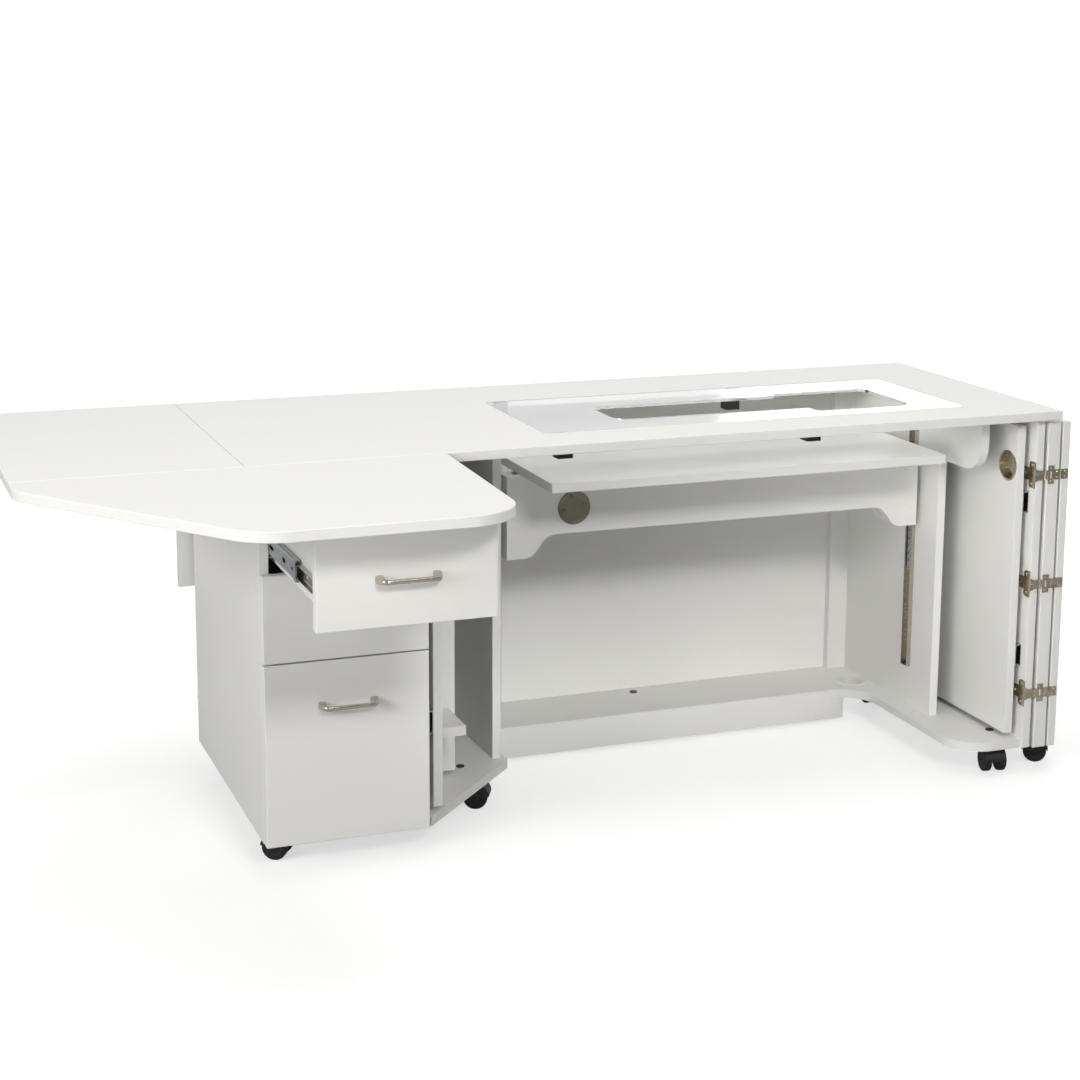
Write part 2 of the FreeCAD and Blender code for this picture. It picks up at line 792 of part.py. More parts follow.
lift_inner_height = lift_rail_height - nest * 2
outer_rails.append(standing_channel(left_partition_inner, 1, lift_rail_height, lift_rail_low, lift_rail_high))
outer_rails.append(standing_channel(right_partition_x, -1, lift_rail_height, lift_rail_low, lift_rail_high))
keep("lift_inner_rails", [
    standing_channel(apron_left, -1, lift_inner_height, ear_bottom, platform_low),
    standing_channel(apron_right, 1, lift_inner_height, ear_bottom, platform_low),
])
keep("outer_rails", outer_rails)

# Side door, post and hinges
up = V(0, 0, 1)
post = box(post_left, post_right, front_line, front_line + board, door_low, door_high)
keep("door_post", [soften_front(post, front_line)])
door = soften_front(box(door_left, door_right, door_front, door_front + door_width, door_low, door_high), door_front)
fixed_straps = []
post_straps = []
door_leaves = []
strap_y = axis_y - strap_face
strap_back = strap_y + strap_thick
half_strap = strap_height / 2
half_arm = arm_height / 2
half_root = strap_root / 2
half_plate = plate_height / 2
plate_face = side_right_inner - strap_thick
plate_end = side_panel_front + plate_depth
tail_end = side_panel_front + plate_tail


def hinge_halves(axis_x, radius, row, height):
    """A pinned lower knuckle and the bored upper knuckle that turns on it."""
    low = row - height / 2
    pin_radius = radius * hinge_pin_share
    pinned = rod(axis_x, axis_y, low, radius, height / 2, up)
    pinned = pinned.fuse(rod(axis_x, axis_y, low, pin_radius, height, up))
    bored = rod(axis_x, axis_y, row + hinge_gap, radius, height / 2 - hinge_gap, up)
    bore = rod(axis_x, axis_y, low, pin_radius + pin_clear, height + overrun, up)
    return pinned, bored, bore


for share in hinge_shares:
    row = door_low + (door_high - door_low) * share
    pinned, bored, bore = hinge_halves(axis_a_x, knuckle_a_radius, row, strap_height)
    wing = upright_x([
        (side_panel_front, row - half_plate, 0),
        (plate_end, row - half_plate, plate_corner),
        (plate_end, row + half_plate, plate_corner),
        (side_panel_front, row + half_plate, 0),
    ], plate_face, side_right_inner)
    tail = upright_x([
        (side_panel_front, row - half_root, 0),
        (tail_end, row - half_root, plate_corner),
        (tail_end, row + half_root, plate_corner),
        (side_panel_front, row + half_root, 0),
    ], plate_face, side_right_inner)
    elbow = box(plate_face, side_right_inner, strap_y, side_panel_front, row - half_root, row + half_root)
    strap_end = axis_a_x - knuckle_a_radius - hinge_gap
    strap = upright_y([
        (plate_face, row - half_root, 0),
        (plate_face + strap_taper, row - half_strap, 0),
        (strap_end, row - half_strap, 0),
        (strap_end, row + half_strap, 0),
        (plate_face + strap_taper, row + half_strap, 0),
        (plate_face, row + half_root, 0),
    ], strap_y, strap_back)
    tongue = box(strap_end, axis_a_x, strap_y, strap_back, row - half_strap, row)
    fixed_straps.append(fuse([wing, tail, elbow, strap, tongue, pinned]))
    window_left = post_left + window_plate_inset
    window_right = window_left + window_plate_width
    window_middle = (window_left + window_right) / 2
    window_plate = box(window_left, window_right, strap_y, strap_back,
                       row - window_plate_height / 2, row + window_plate_height / 2)
    window_plate = window_plate.cut(box(window_middle - window_width / 2, window_middle + window_width / 2,
                                        strap_y - overrun, strap_back + overrun,
                                        row - window_height / 2, row + window_height / 2))
    tongue = box(axis_a_x, window_left + overrun, strap_y, strap_back, row + hinge_gap, row + half_strap)
    tongue = tongue.cut(box(window_left, window_left + overrun, strap_y, strap_back, row, row + half_strap))
    post_straps.append(fuse([bored, tongue, window_plate]).cut(bore).removeSplitter())
    pinned, bored, bore = hinge_halves(axis_b_x, knuckle_b_radius, row, arm_height)
    arm_end = axis_b_x - knuckle_b_radius - hinge_gap
    arm = box(window_right + arm_inset, arm_end, strap_y, strap_back, row - half_arm, row + half_arm)
    tongue = box(arm_end, axis_b_x, strap_y, strap_back, row - half_arm, row)
    post_straps.append(fuse([arm, tongue, pinned]))
    leaf_start = axis_b_x + knuckle_b_radius + hinge_gap
    leaf = box(leaf_start, leaf_start + door_leaf_reach, strap_y, strap_back, row - half_arm, row + half_arm)
    tongue = box(axis_b_x, leaf_start, strap_y, strap_back, row + hinge_gap, row + half_arm)
    door_leaves.append(fuse([leaf, tongue, bored]).cut(bore).removeSplitter())
keep("door_hinge_plates", fixed_straps)
keep("post_hinge_straps", post_straps)

# Casters
fin_half = fin_thick / 2
wheel_inside = fin_half + wheel_gap
wheel_outside = wheel_inside + wheel_width
hood_inner = wheel_radius + hood_clear
hood_outer = hood_inner + hood_wall


def wheel_pair(x, y):
    """Two wheels on one axle; the axle runs along X."""
    parts = [rod(x - wheel_outside, y, wheel_radius, axle_radius, wheel_outside * 2, V(1, 0, 0))]
    for start in (x - wheel_outside, x + wheel_inside):
        wheel = rod(start, y, wheel_radius, wheel_radius, wheel_width, V(1, 0, 0))
        rims = [e for e in wheel.Edges if e.BoundBox.XLength < pin_clear]
        parts.append(wheel.makeFillet(wheel_edge, rims))
    return fuse(parts)


def hood(x, y):
    """A bent cover over the wheels with a fin between them, bored for the axle."""
    start = x - hood_width / 2
    cover = rod(start, y, wheel_radius, hood_outer, hood_width, V(1, 0, 0))
    cover = cover.cut(rod(start - overrun, y, wheel_radius, hood_inner, hood_width + overrun * 2, V(1, 0, 0)))
    keep_block = box(start, start + hood_width, y - hood_outer, y + hood_outer, hood_low, table_height)
    cover = cover.common(keep_block)
    fin = rod(x - fin_half, y, wheel_radius, hood_inner + pin_clear, fin_thick, V(1, 0, 0))
    fin = fin.common(box(x - fin_half, x + fin_half, y - hood_outer, y + hood_outer, wheel_radius, table_height))
    boss = rod(x - fin_half, y, wheel_radius, fin_boss, fin_thick, V(1, 0, 0))
    return cover.fuse(fin).fuse(boss)


def bore_axle(shape, x, y):
    return shape.cut(rod(x - hood_width, y, wheel_radius, axle_radius + pin_clear, hood_width * 2, V(1, 0, 0)))


plates = []
plate_low = floor_under - caster_plate
pin_low = plate_low - swivel_length


def caster(x, y, turn, top):
    """Fork and wheels that trail behind an upright pin, turned about the pin."""
    wheel_y = y - trail
    fork = hood(x, wheel_y)
    fork = fork.fuse(box(x - fin_half, x + fin_half, y - stem_width / 2, y + stem_width / 2, hood_low, top))
    socket_low = pin_low - swivel_gap
    fork = fork.cut(rod(x, y, socket_low, swivel_radius + pin_clear, top + overrun - socket_low, up))
    fork = bore_axle(fork, x, wheel_y).removeSplitter()
    wheels = wheel_pair(x, wheel_y)
    for shape in (fork, wheels):
        shape.rotate(V(x, y, 0), up, turn)
    return fork, wheels


for place, (x, y, turn) in casters.items():
    plate = box(x - caster_plate_half, x + caster_plate_half, y - caster_plate_half, y + caster_plate_half,
                plate_low, floor_under)
    pin = rod(x, y, pin_low, swivel_radius, swivel_length, up)
    plates.append(plate.fuse(pin).removeSplitter())
    fork, wheels = caster(x, y, turn, plate_low - swivel_gap)
    keep("caster_fork_" + place, [fork])
    keep("caster_wheels_" + place, [wheels])
keep("caster_plates", plates)

# Stem caster under the door
door_middle = (door_left + door_right) / 2
stem_top = door_low + stem_seat
stem = rod(door_middle, door_caster_y, pin_low, swivel_radius, stem_top - pin_low, up)
door = door.cut(rod(door_middle, door_caster_y, door_low - overrun, swivel_radius + pin_clear,
                    stem_seat + overrun, up))
fork, wheels = caster(door_middle, door_caster_y, door_caster_turn, door_low - swivel_gap)
keep("door", [door])
keep("door_fittings", door_leaves + [stem])
keep("door_caster_fork", [fork])
keep("door_caster_wheels", [wheels])

# The origin is on the floor under the middle of the whole
span = Part.makeCompound(list(nodes.values())).optimalBoundingBox()
shift = V(-span.Center.x, -span.Center.y, 0)
os.makedirs("parts", exist_ok=True)
for name, shape in nodes.items():
    placed = shape.copy()
    placed.translate(shift)
    placed.exportStep("parts/" + name + ".step")
print(len(nodes), "nodes, shifted by", shift.x, shift.y)
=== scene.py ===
# %% [markdown]
# # A white sewing cabinet, dressed in Blender
# The boards, slides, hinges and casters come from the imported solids, which already stand in
# metres in one shared frame. This lesson gives them finishes and adds the small hardware that a
# maker would screw on last. Nothing that is loaded is moved or reshaped, but a few plain solids give
# way to a finer piece of the same part.

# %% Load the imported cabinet
import json
import math
import bmesh
import bpy
from mathutils import Matrix, Vector


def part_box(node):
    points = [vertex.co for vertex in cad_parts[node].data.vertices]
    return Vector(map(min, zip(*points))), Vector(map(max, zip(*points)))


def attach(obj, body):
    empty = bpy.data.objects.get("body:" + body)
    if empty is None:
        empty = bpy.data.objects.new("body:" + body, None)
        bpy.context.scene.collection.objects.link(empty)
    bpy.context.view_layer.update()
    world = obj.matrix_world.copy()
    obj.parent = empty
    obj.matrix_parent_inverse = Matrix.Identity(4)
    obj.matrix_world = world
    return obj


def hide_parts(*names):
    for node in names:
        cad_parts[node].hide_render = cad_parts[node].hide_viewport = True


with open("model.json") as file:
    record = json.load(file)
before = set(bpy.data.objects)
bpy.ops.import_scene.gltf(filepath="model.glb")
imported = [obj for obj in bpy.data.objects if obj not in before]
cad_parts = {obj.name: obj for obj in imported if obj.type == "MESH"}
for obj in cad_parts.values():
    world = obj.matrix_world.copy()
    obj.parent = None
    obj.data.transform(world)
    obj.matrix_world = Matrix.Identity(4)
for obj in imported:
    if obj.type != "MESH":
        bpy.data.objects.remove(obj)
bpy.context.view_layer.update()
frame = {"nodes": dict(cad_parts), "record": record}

scene = bpy.context.scene
MM = 0.001
table_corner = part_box("main_top")[0]


def at(x, y, z):
    """A point in metres from millimetres along the table's front, back into it and above the floor."""
    return Vector((table_corner.x + x * MM, table_corner.y + y * MM, z * MM))


# %% [markdown]
# ## The camera
# The picture was taken from the left, a little above the table, with a long lens. Its place and
# turn were solved from the cabinet's own parallel edges, so the camera is built from three
# perpendicular axes instead of being aimed by eye. The shift is the framing of the picture.

# %% Camera from its axes
camera_place = at(-746.0, -3454.0, 1494.0)
camera_yaw = math.radians(20.70)
camera_pitch = math.radians(10.84)
camera_roll = math.radians(-0.33)
forward = Vector((
    math.sin(camera_yaw) * math.cos(camera_pitch),
    math.cos(camera_yaw) * math.cos(camera_pitch),
    -math.sin(camera_pitch),
))
level = Vector((math.cos(camera_yaw), -math.sin(camera_yaw), 0))
down = forward.cross(level)
right_axis = level * math.cos(camera_roll) + down * math.sin(camera_roll)
up_axis = level * math.sin(camera_roll) - down * math.cos(camera_roll)
camera_data = bpy.data.cameras.new("camera")
camera_data.sensor_width = 36.0
camera_data.lens = 69.57
camera_data.shift_x = -0.0102
camera_data.shift_y = -0.1009
camera_data.clip_end = 60.0
camera = bpy.data.objects.new("camera", camera_data)
camera.matrix_world = Matrix((
    (right_axis.x, up_axis.x, -forward.x, camera_place.x),
    (right_axis.y, up_axis.y, -forward.y, camera_place.y),
    (right_axis.z, up_axis.z, -forward.z, camera_place.z),
    (0, 0, 0, 1),
))
scene.collection.objects.link(camera)
scene.camera = camera
print("camera", round(camera_data.lens, 1), "mm at", tuple(round(v, 2) for v in camera_place))

# %% [markdown]
# ## Floor, sky and lamps
# A white cabinet on a white ground needs a bright table top and a bright floor, while the fronts fall
# to a light grey. One wide lamp hangs above. The key lamp stands in front, high enough for the table
# to throw its shadow on the fronts and low enough to reach the foot of the back panel. A narrow lamp
# lifts the open drawer out of the leaf's shade. Another lights the left side, one behind keeps the
# back and the door from going black, and two weak ones in front serve the knee space. The world
# itself stays weak: seen straight on it is white, but mirrored in metal it is dark towards the front,
# so that plated parts show a bright and a dark side.

# %% Studio
BACKDROP_WHITE = 1.15
scene.view_settings.view_transform = "Standard"
scene.view_settings.look = "None"
world = bpy.data.worlds.new("white_studio")
world.use_nodes = True
scene.world = world
studio = world.node_tree
sky = studio.nodes["Background"]
sky.inputs["Color"].default_value = (1.0, 0.995, 0.985, 1.0)
backdrop = studio.nodes.new("ShaderNodeBackground")
backdrop.inputs["Color"].default_value = (1.0, 1.0, 1.0, 1.0)
way_up = studio.nodes.new("ShaderNodeTexCoord")
height = studio.nodes.new("ShaderNodeSeparateXYZ")
ceiling = studio.nodes.new("ShaderNodeMapRange")
ceiling.inputs["To Min"].default_value = 0.10
ceiling.inputs["To Max"].default_value = 0.22
room = studio.nodes.new("ShaderNodeMapRange")
room.inputs["From Min"].default_value = -0.8
room.inputs["From Max"].default_value = 0.1
room.inputs["To Min"].default_value = 0.08
room.inputs["To Max"].default_value = BACKDROP_WHITE
seen = studio.nodes.new("ShaderNodeLightPath")
white_behind = studio.nodes.new("ShaderNodeMath")
white_behind.operation = "MULTIPLY"
white_behind.inputs[1].default_value = BACKDROP_WHITE
brighter = studio.nodes.new("ShaderNodeMath")
brighter.operation = "MAXIMUM"
mirrored = studio.nodes.new("ShaderNodeMath")
mirrored.operation = "MAXIMUM"
choose = studio.nodes.new("ShaderNodeMixShader")
studio.links.new(way_up.outputs["Generated"], height.inputs["Vector"])
studio.links.new(height.outputs["Z"], ceiling.inputs["Value"])
studio.links.new(ceiling.outputs["Result"], sky.inputs["Strength"])
studio.links.new(height.outputs["Y"], room.inputs["Value"])
studio.links.new(seen.outputs["Is Camera Ray"], white_behind.inputs[0])
studio.links.new(white_behind.outputs["Value"], brighter.inputs[0])
studio.links.new(room.outputs["Result"], brighter.inputs[1])
studio.links.new(brighter.outputs["Value"], backdrop.inputs["Strength"])
studio.links.new(seen.outputs["Is Camera Ray"], mirrored.inputs[0])
studio.links.new(seen.outputs["Is Glossy Ray"], mirrored.inputs[1])
studio.links.new(mirrored.outputs["Value"], choose.inputs["Fac"])
studio.links.new(sky.outputs["Background"], choose.inputs[1])
studio.links.new(backdrop.outputs["Background"], choose.inputs[2])
studio.links.new(choose.outputs["Shader"], studio.nodes["World Output"].inputs["Surface"])
print("world", world.name)

# %% Lamps
WARM_WHITE = (1.0, 0.995, 0.975)


def soft_lamp(name, place, target, width, depth, watts, spread=180.0, in_picture=True):
    """A rectangular lamp aimed at a target; a small spread makes a narrow beam."""
    data = bpy.data.lights.new(name, "AREA")
    data.shape = "RECTANGLE"
    data.size = width
    data.size_y = depth
    data.energy = watts
    data.color = WARM_WHITE
    data.spread = math.radians(spread)
    lamp = bpy.data.objects.new(name, data)
    lamp.location = place
    lamp.rotation_euler = (Vector(target) - Vector(place)).to_track_quat("-Z", "Y").to_euler()
    lamp.visible_camera = in_picture
    scene.collection.objects.link(lamp)
    return lamp


drawer_spot, drawer_aim = at(60.0, -2600.0, 640.0), at(170.0, -362.0, 760.0)
knee_spot, knee_aim = at(380.0, -800.0, 560.0), at(1571.0, 160.0, 430.0)
foot_spot, foot_aim = at(900.0, -1500.0, 900.0), at(930.0, 500.0, 100.0)
overhead = soft_lamp("overhead_softbox", (0.1, -0.1, 4.4), (0.1, 0.1, 0), 2.4, 1.8, 68.0)
front_key = soft_lamp("front_softbox", (-0.1, -4.9, 3.6), (0.1, 0.2, 0.3), 1.3, 0.8, 116.0)
drawer_fill = soft_lamp("drawer_softbox", drawer_spot, drawer_aim, 0.4, 0.25, 0.10, 20.0, False)
left_fill = soft_lamp("left_softbox", (-4.2, -1.9, 1.9), (0, 0, 0.4), 2.2, 1.6, 124.0)
knee_fill = soft_lamp("knee_softbox", knee_spot, knee_aim, 0.5, 0.3, 0.5, 50.0, False)
foot_fill = soft_lamp("foot_softbox", foot_spot, foot_aim, 1.0, 0.12, 0.34, 16.0, False)
rear_fill = soft_lamp("rear_softbox", (3.4, 4.0, 1.5), (0.2, 0.2, 0.4), 2.2, 1.6, 84.0, 180.0, False)
rear_fill.visible_glossy = False
lamps = (overhead, front_key, drawer_fill, left_fill, knee_fill, foot_fill, rear_fill)
print("lamps", [lamp.name for lamp in lamps])

# %% [markdown]
# ## Shared effects as node groups
# Board, plastic and metal all show the same few effects in different amounts: a worn edge, a fine
# grain, drawn lines from brushing, and a little dust on what faces up. Each is built once as a
# shader node group with named sockets, and each material sets its own values.

# %% A small kit for groups
def effect_group(name, inputs, outputs):
    """An empty node group with named sockets, and its two end nodes."""
    group = bpy.data.node_groups.new(name, "ShaderNodeTree")
    for label, kind, value in inputs:
        socket = group.interface.new_socket(name=label, in_out="INPUT", socket_type=kind)
        socket.default_value = value
    for label, kind in outputs:
        group.interface.new_socket(name=label, in_out="OUTPUT", socket_type=kind)
    return group, group.nodes.new("NodeGroupInput"), group.nodes.new("NodeGroupOutput")


def add_node(tree, kind, **settings):
    """A node of one kind, with its settings made."""
    node = tree.nodes.new(kind)
    for key, value in settings.items():
        setattr(node, key, value)
    return node


FLOAT = "NodeSocketFloat"
VECTOR = "NodeSocketVector"

# %% Edge wear: where a rounded normal leaves the flat one
edge_wear, start, end = effect_group(
    "edge_wear",
    [("Radius", FLOAT, 0.002), ("Break Up", FLOAT, 60.0), ("Amount", FLOAT, 0.5)],
    [("Mask", FLOAT)],
)
link = edge_wear.links.new
rounded = add_node(edge_wear, "ShaderNodeBevel", samples=4)
flat = add_node(edge_wear, "ShaderNodeNewGeometry")
agree = add_node(edge_wear, "ShaderNodeVectorMath", operation="DOT_PRODUCT")
spread = add_node(edge_wear, "ShaderNodeMapRange")
spread.inputs["From Min"].default_value = 0.99
spread.inputs["From Max"].default_value = 0.72
place = add_node(edge_wear, "ShaderNodeTexCoord")
patches = add_node(edge_wear, "ShaderNodeTexNoise")
patches.inputs["Detail"].default_value = 3.0
uneven = add_node(edge_wear, "ShaderNodeMapRange")
uneven.inputs["From Min"].default_value = 0.35
uneven.inputs["From Max"].default_value = 0.7
both = add_node(edge_wear, "ShaderNodeMath", operation="MULTIPLY")
final = add_node(edge_wear, "ShaderNodeMath", operation="MULTIPLY")
link(start.outputs["Radius"], rounded.inputs["Radius"])
link(rounded.outputs["Normal"], agree.inputs[0])
link(flat.outputs["Normal"], agree.inputs[1])
link(agree.outputs["Value"], spread.inputs["Value"])
link(place.outputs["Object"], patches.inputs["Vector"])
link(start.outputs["Break Up"], patches.inputs["Scale"])
link(patches.outputs["Fac"], uneven.inputs["Value"])
link(spread.outputs["Result"], both.inputs[0])
link(uneven.outputs["Result"], both.inputs[1])
link(both.outputs["Value"], final.inputs[0])
link(start.outputs["Amount"], final.inputs[1])
link(final.outputs["Value"], end.inputs["Mask"])
print("group", edge_wear.name)

# %% Fine grain: a cloudy tone and a pebbled height
fine_grain, start, end = effect_group(
    "fine_grain",
    [("Cloud Scale", FLOAT, 4.0), ("Pebble Scale", FLOAT, 900.0)],
    [("Cloud", FLOAT), ("Pebble", FLOAT)],
)
link = fine_grain.links.new
place = add_node(fine_grain, "ShaderNodeTexCoord")
cloud = add_node(fine_grain, "ShaderNodeTexNoise")
cloud.inputs["Detail"].default_value = 4.0
pebble = add_node(fine_grain, "ShaderNodeTexNoise")
pebble.inputs["Detail"].default_value = 2.0
pebble.inputs["Roughness"].default_value = 0.6
for texture, scale_name, out_name in ((cloud, "Cloud Scale", "Cloud"), (pebble, "Pebble Scale", "Pebble")):
    link(place.outputs["Object"], texture.inputs["Vector"])
    link(start.outputs[scale_name], texture.inputs["Scale"])
    link(texture.outputs["Fac"], end.inputs[out_name])
print("group", fine_grain.name)

# %% Drawn lines: noise stretched along one way
drawn_lines, start, end = effect_group(
    "drawn_lines",
    [("Stretch", VECTOR, (8.0, 900.0, 900.0))],
    [("Line", FLOAT)],
)
link = drawn_lines.links.new
place = add_node(drawn_lines, "ShaderNodeTexCoord")
stretch = add_node(drawn_lines, "ShaderNodeVectorMath", operation="MULTIPLY")
lines = add_node(drawn_lines, "ShaderNodeTexNoise")
lines.inputs["Scale"].default_value = 1.0
lines.inputs["Detail"].default_value = 5.0
lines.inputs["Roughness"].default_value = 0.7
link(place.outputs["Object"], stretch.inputs[0])
link(start.outputs["Stretch"], stretch.inputs[1])
link(stretch.outputs["Vector"], lines.inputs["Vector"])
link(lines.outputs["Fac"], end.inputs["Line"])
print("group", drawn_lines.name)

# %% Dust: a thin film on what faces up
dust_film, start, end = effect_group(
    "dust_film",
    [("Scale", FLOAT, 14.0), ("Amount", FLOAT, 0.2)],
    [("Mask", FLOAT)],
)
link = dust_film.links.new
flat = add_node(dust_film, "ShaderNodeNewGeometry")
upward = add_node(dust_film, "ShaderNodeSeparateXYZ")
facing = add_node(dust_film, "ShaderNodeMapRange")
facing.inputs["From Min"].default_value = 0.2
facing.inputs["From Max"].default_value = 1.0
place = add_node(dust_film, "ShaderNodeTexCoord")
drift = add_node(dust_film, "ShaderNodeTexNoise")
drift.inputs["Detail"].default_value = 6.0
both = add_node(dust_film, "ShaderNodeMath", operation="MULTIPLY")
final = add_node(dust_film, "ShaderNodeMath", operation="MULTIPLY")
link(flat.outputs["Normal"], upward.inputs["Vector"])
link(upward.outputs["Z"], facing.inputs["Value"])
link(place.outputs["Object"], drift.inputs["Vector"])
link(start.outputs["Scale"], drift.inputs["Scale"])
link(facing.outputs["Result"], both.inputs[0])
link(drift.outputs["Fac"], both.inputs[1])
link(both.outputs["Value"], final.inputs[0])
link(start.outputs["Amount"], final.inputs[1])
link(final.outputs["Value"], end.inputs["Mask"])
print("group", dust_film.name)

# %% [markdown]
# ## Finishes
# Every finish is one Principled BSDF fed by the groups. A small helper places a group, another
# mixes two tones by a mask, and a third turns a mask into a roughness range or a bump.

# %% Helpers that wire a finish
def finish(name):
    """A new material, its node tree and its shader."""
    material = bpy.data.materials.new(name)
    material.use_nodes = True
    return material, material.node_tree, material.node_tree.nodes["Principled BSDF"]


def put_group(tree, group, **values):
    """One of the shared effects, with its sockets set."""
    node = tree.nodes.new("ShaderNodeGroup")
    node.node_tree = group
    for key, value in values.items():
        node.inputs[key.replace("_", " ")].default_value = value
    return node


def tone(tree, mask, first, second):
    """Mix two colours, or a colour and what came before, by a mask."""
    mix = add_node(tree, "ShaderNodeMix", data_type="RGBA")
    tree.links.new(mask, mix.inputs[0])
    for socket, value in ((mix.inputs[6], first), (mix.inputs[7], second)):
        if isinstance(value, tuple):
            socket.default_value = (*value, 1.0)
        else:
            tree.links.new(value, socket)
    return mix.outputs[2]


def between(tree, mask, low, high):
    """Spread a mask over a range of values."""
    ramp = add_node(tree, "ShaderNodeMapRange")
    ramp.inputs["To Min"].default_value = low
    ramp.inputs["To Max"].default_value = high
    tree.links.new(mask, ramp.inputs["Value"])
    return ramp.outputs["Result"]


def raise_bump(tree, shader, height, strength, distance):
    """Bend the shader's normal by a height."""
    bump = add_node(tree, "ShaderNodeBump")
    bump.inputs["Strength"].default_value = strength
    bump.inputs["Distance"].default_value = distance
    tree.links.new(height, bump.inputs["Height"])
    tree.links.new(bump.outputs["Normal"], shader.inputs["Normal"])


# %% [markdown]
# ### White laminate
# The boards are faced with white melamine, pressed with a very fine pearl so that it does not
# glare, and edged with a matching band whose corners are broken by hand. The face is a warm
# white that drifts slightly across a sheet; the band's rounded edge is a touch brighter.

# %% White laminate
laminate, tree, shader = finish("white_laminate")
grain = put_group(tree, fine_grain, Cloud_Scale=2.2, Pebble_Scale=1100.0)
wear = put_group(tree, edge_wear, Radius=0.0022, Break_Up=35.0, Amount=0.55)
film = put_group(tree, dust_film, Scale=9.0, Amount=0.10)
sheet_white = tone(tree, grain.outputs["Cloud"], (0.775, 0.772, 0.748), (0.815, 0.812, 0.790))
edged_white = tone(tree, wear.outputs["Mask"], sheet_white, (0.87, 0.868, 0.85))
dusted_white = tone(tree, film.outputs["Mask"], edged_white, (0.70, 0.69, 0.66))
tree.links.new(dusted_white, shader.inputs["Base Color"])
tree.links.new(between(tree, grain.outputs["Cloud"], 0.36, 0.52), shader.inputs["Roughness"])
raise_bump(tree, shader, grain.outputs["Pebble"], 0.12, 0.0003)
print("finish", laminate.name)

# %% [markdown]
# ### Clear acrylic
# The insert is a sheet of acrylic laid level with the table. From a low angle it mirrors the room
# and its edges show pale. It is a transmissive shader with fine handling scratches in its gloss,
# and light that only passes on its way to the platform goes straight through, as it really does.

# %% Clear acrylic
acrylic, tree, shader = finish("clear_acrylic")
scratch = put_group(tree, drawn_lines, Stretch=(30.0, 420.0, 420.0))
wear = put_group(tree, edge_wear, Radius=0.0016, Break_Up=20.0, Amount=0.7)
tint = tone(tree, wear.outputs["Mask"], (0.93, 0.95, 0.96), (0.98, 0.985, 0.985))
tree.links.new(tint, shader.inputs["Base Color"])
tree.links.new(between(tree, scratch.outputs["Line"], 0.01, 0.09), shader.inputs["Roughness"])
shader.inputs["Transmission Weight"].default_value = 1.0
shader.inputs["IOR"].default_value = 1.49
path_kind = add_node(tree, "ShaderNodeLightPath")
lights_through = add_node(tree, "ShaderNodeMath", operation="MAXIMUM")
clear = add_node(tree, "ShaderNodeBsdfTransparent")
clear.inputs["Color"].default_value = (0.985, 0.99, 0.99, 1.0)
shade_or_sheet = add_node(tree, "ShaderNodeMixShader")
tree.links.new(path_kind.outputs["Is Shadow Ray"], lights_through.inputs[0])
tree.links.new(path_kind.outputs["Is Diffuse Ray"], lights_through.inputs[1])
tree.links.new(lights_through.outputs["Value"], shade_or_sheet.inputs["Fac"])
tree.links.new(shader.outputs["BSDF"], shade_or_sheet.inputs[1])
tree.links.new(clear.outputs["BSDF"], shade_or_sheet.inputs[2])
tree.links.new(shade_or_sheet.outputs["Shader"], tree.nodes["Material Output"].inputs["Surface"])
print("finish", acrylic.name)

# %% [markdown]
# ### Satin nickel
# The handles, the fixed rails and the open drawer's own rail are plated in a warm satin nickel. Fine
# drawn lines run along the bar, and the plating is brighter where fingers rub its edges.

# %% Satin nickel
nickel, tree, shader = finish("satin_nickel")
line = put_group(tree, drawn_lines, Stretch=(22.0, 800.0, 800.0))
wear = put_group(tree, edge_wear, Radius=0.0012, Break_Up=90.0, Amount=0.8)
plated = tone(tree, line.outputs["Line"], (0.42, 0.375, 0.32), (0.66, 0.61, 0.54))
rubbed = tone(tree, wear.outputs["Mask"], plated, (0.86, 0.83, 0.77))
tree.links.new(rubbed, shader.inputs["Base Color"])
shader.inputs["Metallic"].default_value = 1.0
tree.links.new(between(tree, line.outputs["Line"], 0.16, 0.34), shader.inputs["Roughness"])
raise_bump(tree, shader, line.outputs["Line"], 0.10, 0.0002)
print("finish", nickel.name)

# %% [markdown]
# ### Stamped nickel and dull steel
# Hinges and the finger cup are pressed from thin sheet, so their plating is wavy; the light and dark
# patches that such plating reflects are painted into its tone as a painted reflection. The lift's plate
# is plain brown-grey steel whose dark tone is partly its own colour and partly painted shade from the
# platform above. Both are the same recipe: a cloud sets tone and roughness, and a low bump bends the
# reflection.

# %% Stamped nickel, dull steel
def cloudy_metal(name, cloud_scale, pebble_scale, wear_radius, wear_amount, tones, gloss, bump):
    """Metal whose tone and gloss follow a cloud, with rubbed edges and a low bump."""
    material, tree, shader = finish(name)
    grain = put_group(tree, fine_grain, Cloud_Scale=cloud_scale, Pebble_Scale=pebble_scale)
    wear = put_group(tree, edge_wear, Radius=wear_radius, Break_Up=90.0, Amount=wear_amount)
    dark, light, rubbed = tones
    # The cloud between the dark and light tones is random tone on dull steel and a painted reflection of
    # light and dark patches on stamped nickel.
    patchy_tone_and_painted_reflection = tone(tree, grain.outputs["Cloud"], dark, light)
    worn = tone(tree, wear.outputs["Mask"], patchy_tone_and_painted_reflection, rubbed)
    tree.links.new(worn, shader.inputs["Base Color"])
    shader.inputs["Metallic"].default_value = 1.0
    tree.links.new(between(tree, grain.outputs["Cloud"], *gloss), shader.inputs["Roughness"])
    bump_source, strength, distance = bump
    raise_bump(tree, shader, grain.outputs[bump_source], strength, distance)
    print("finish", material.name)
    return material
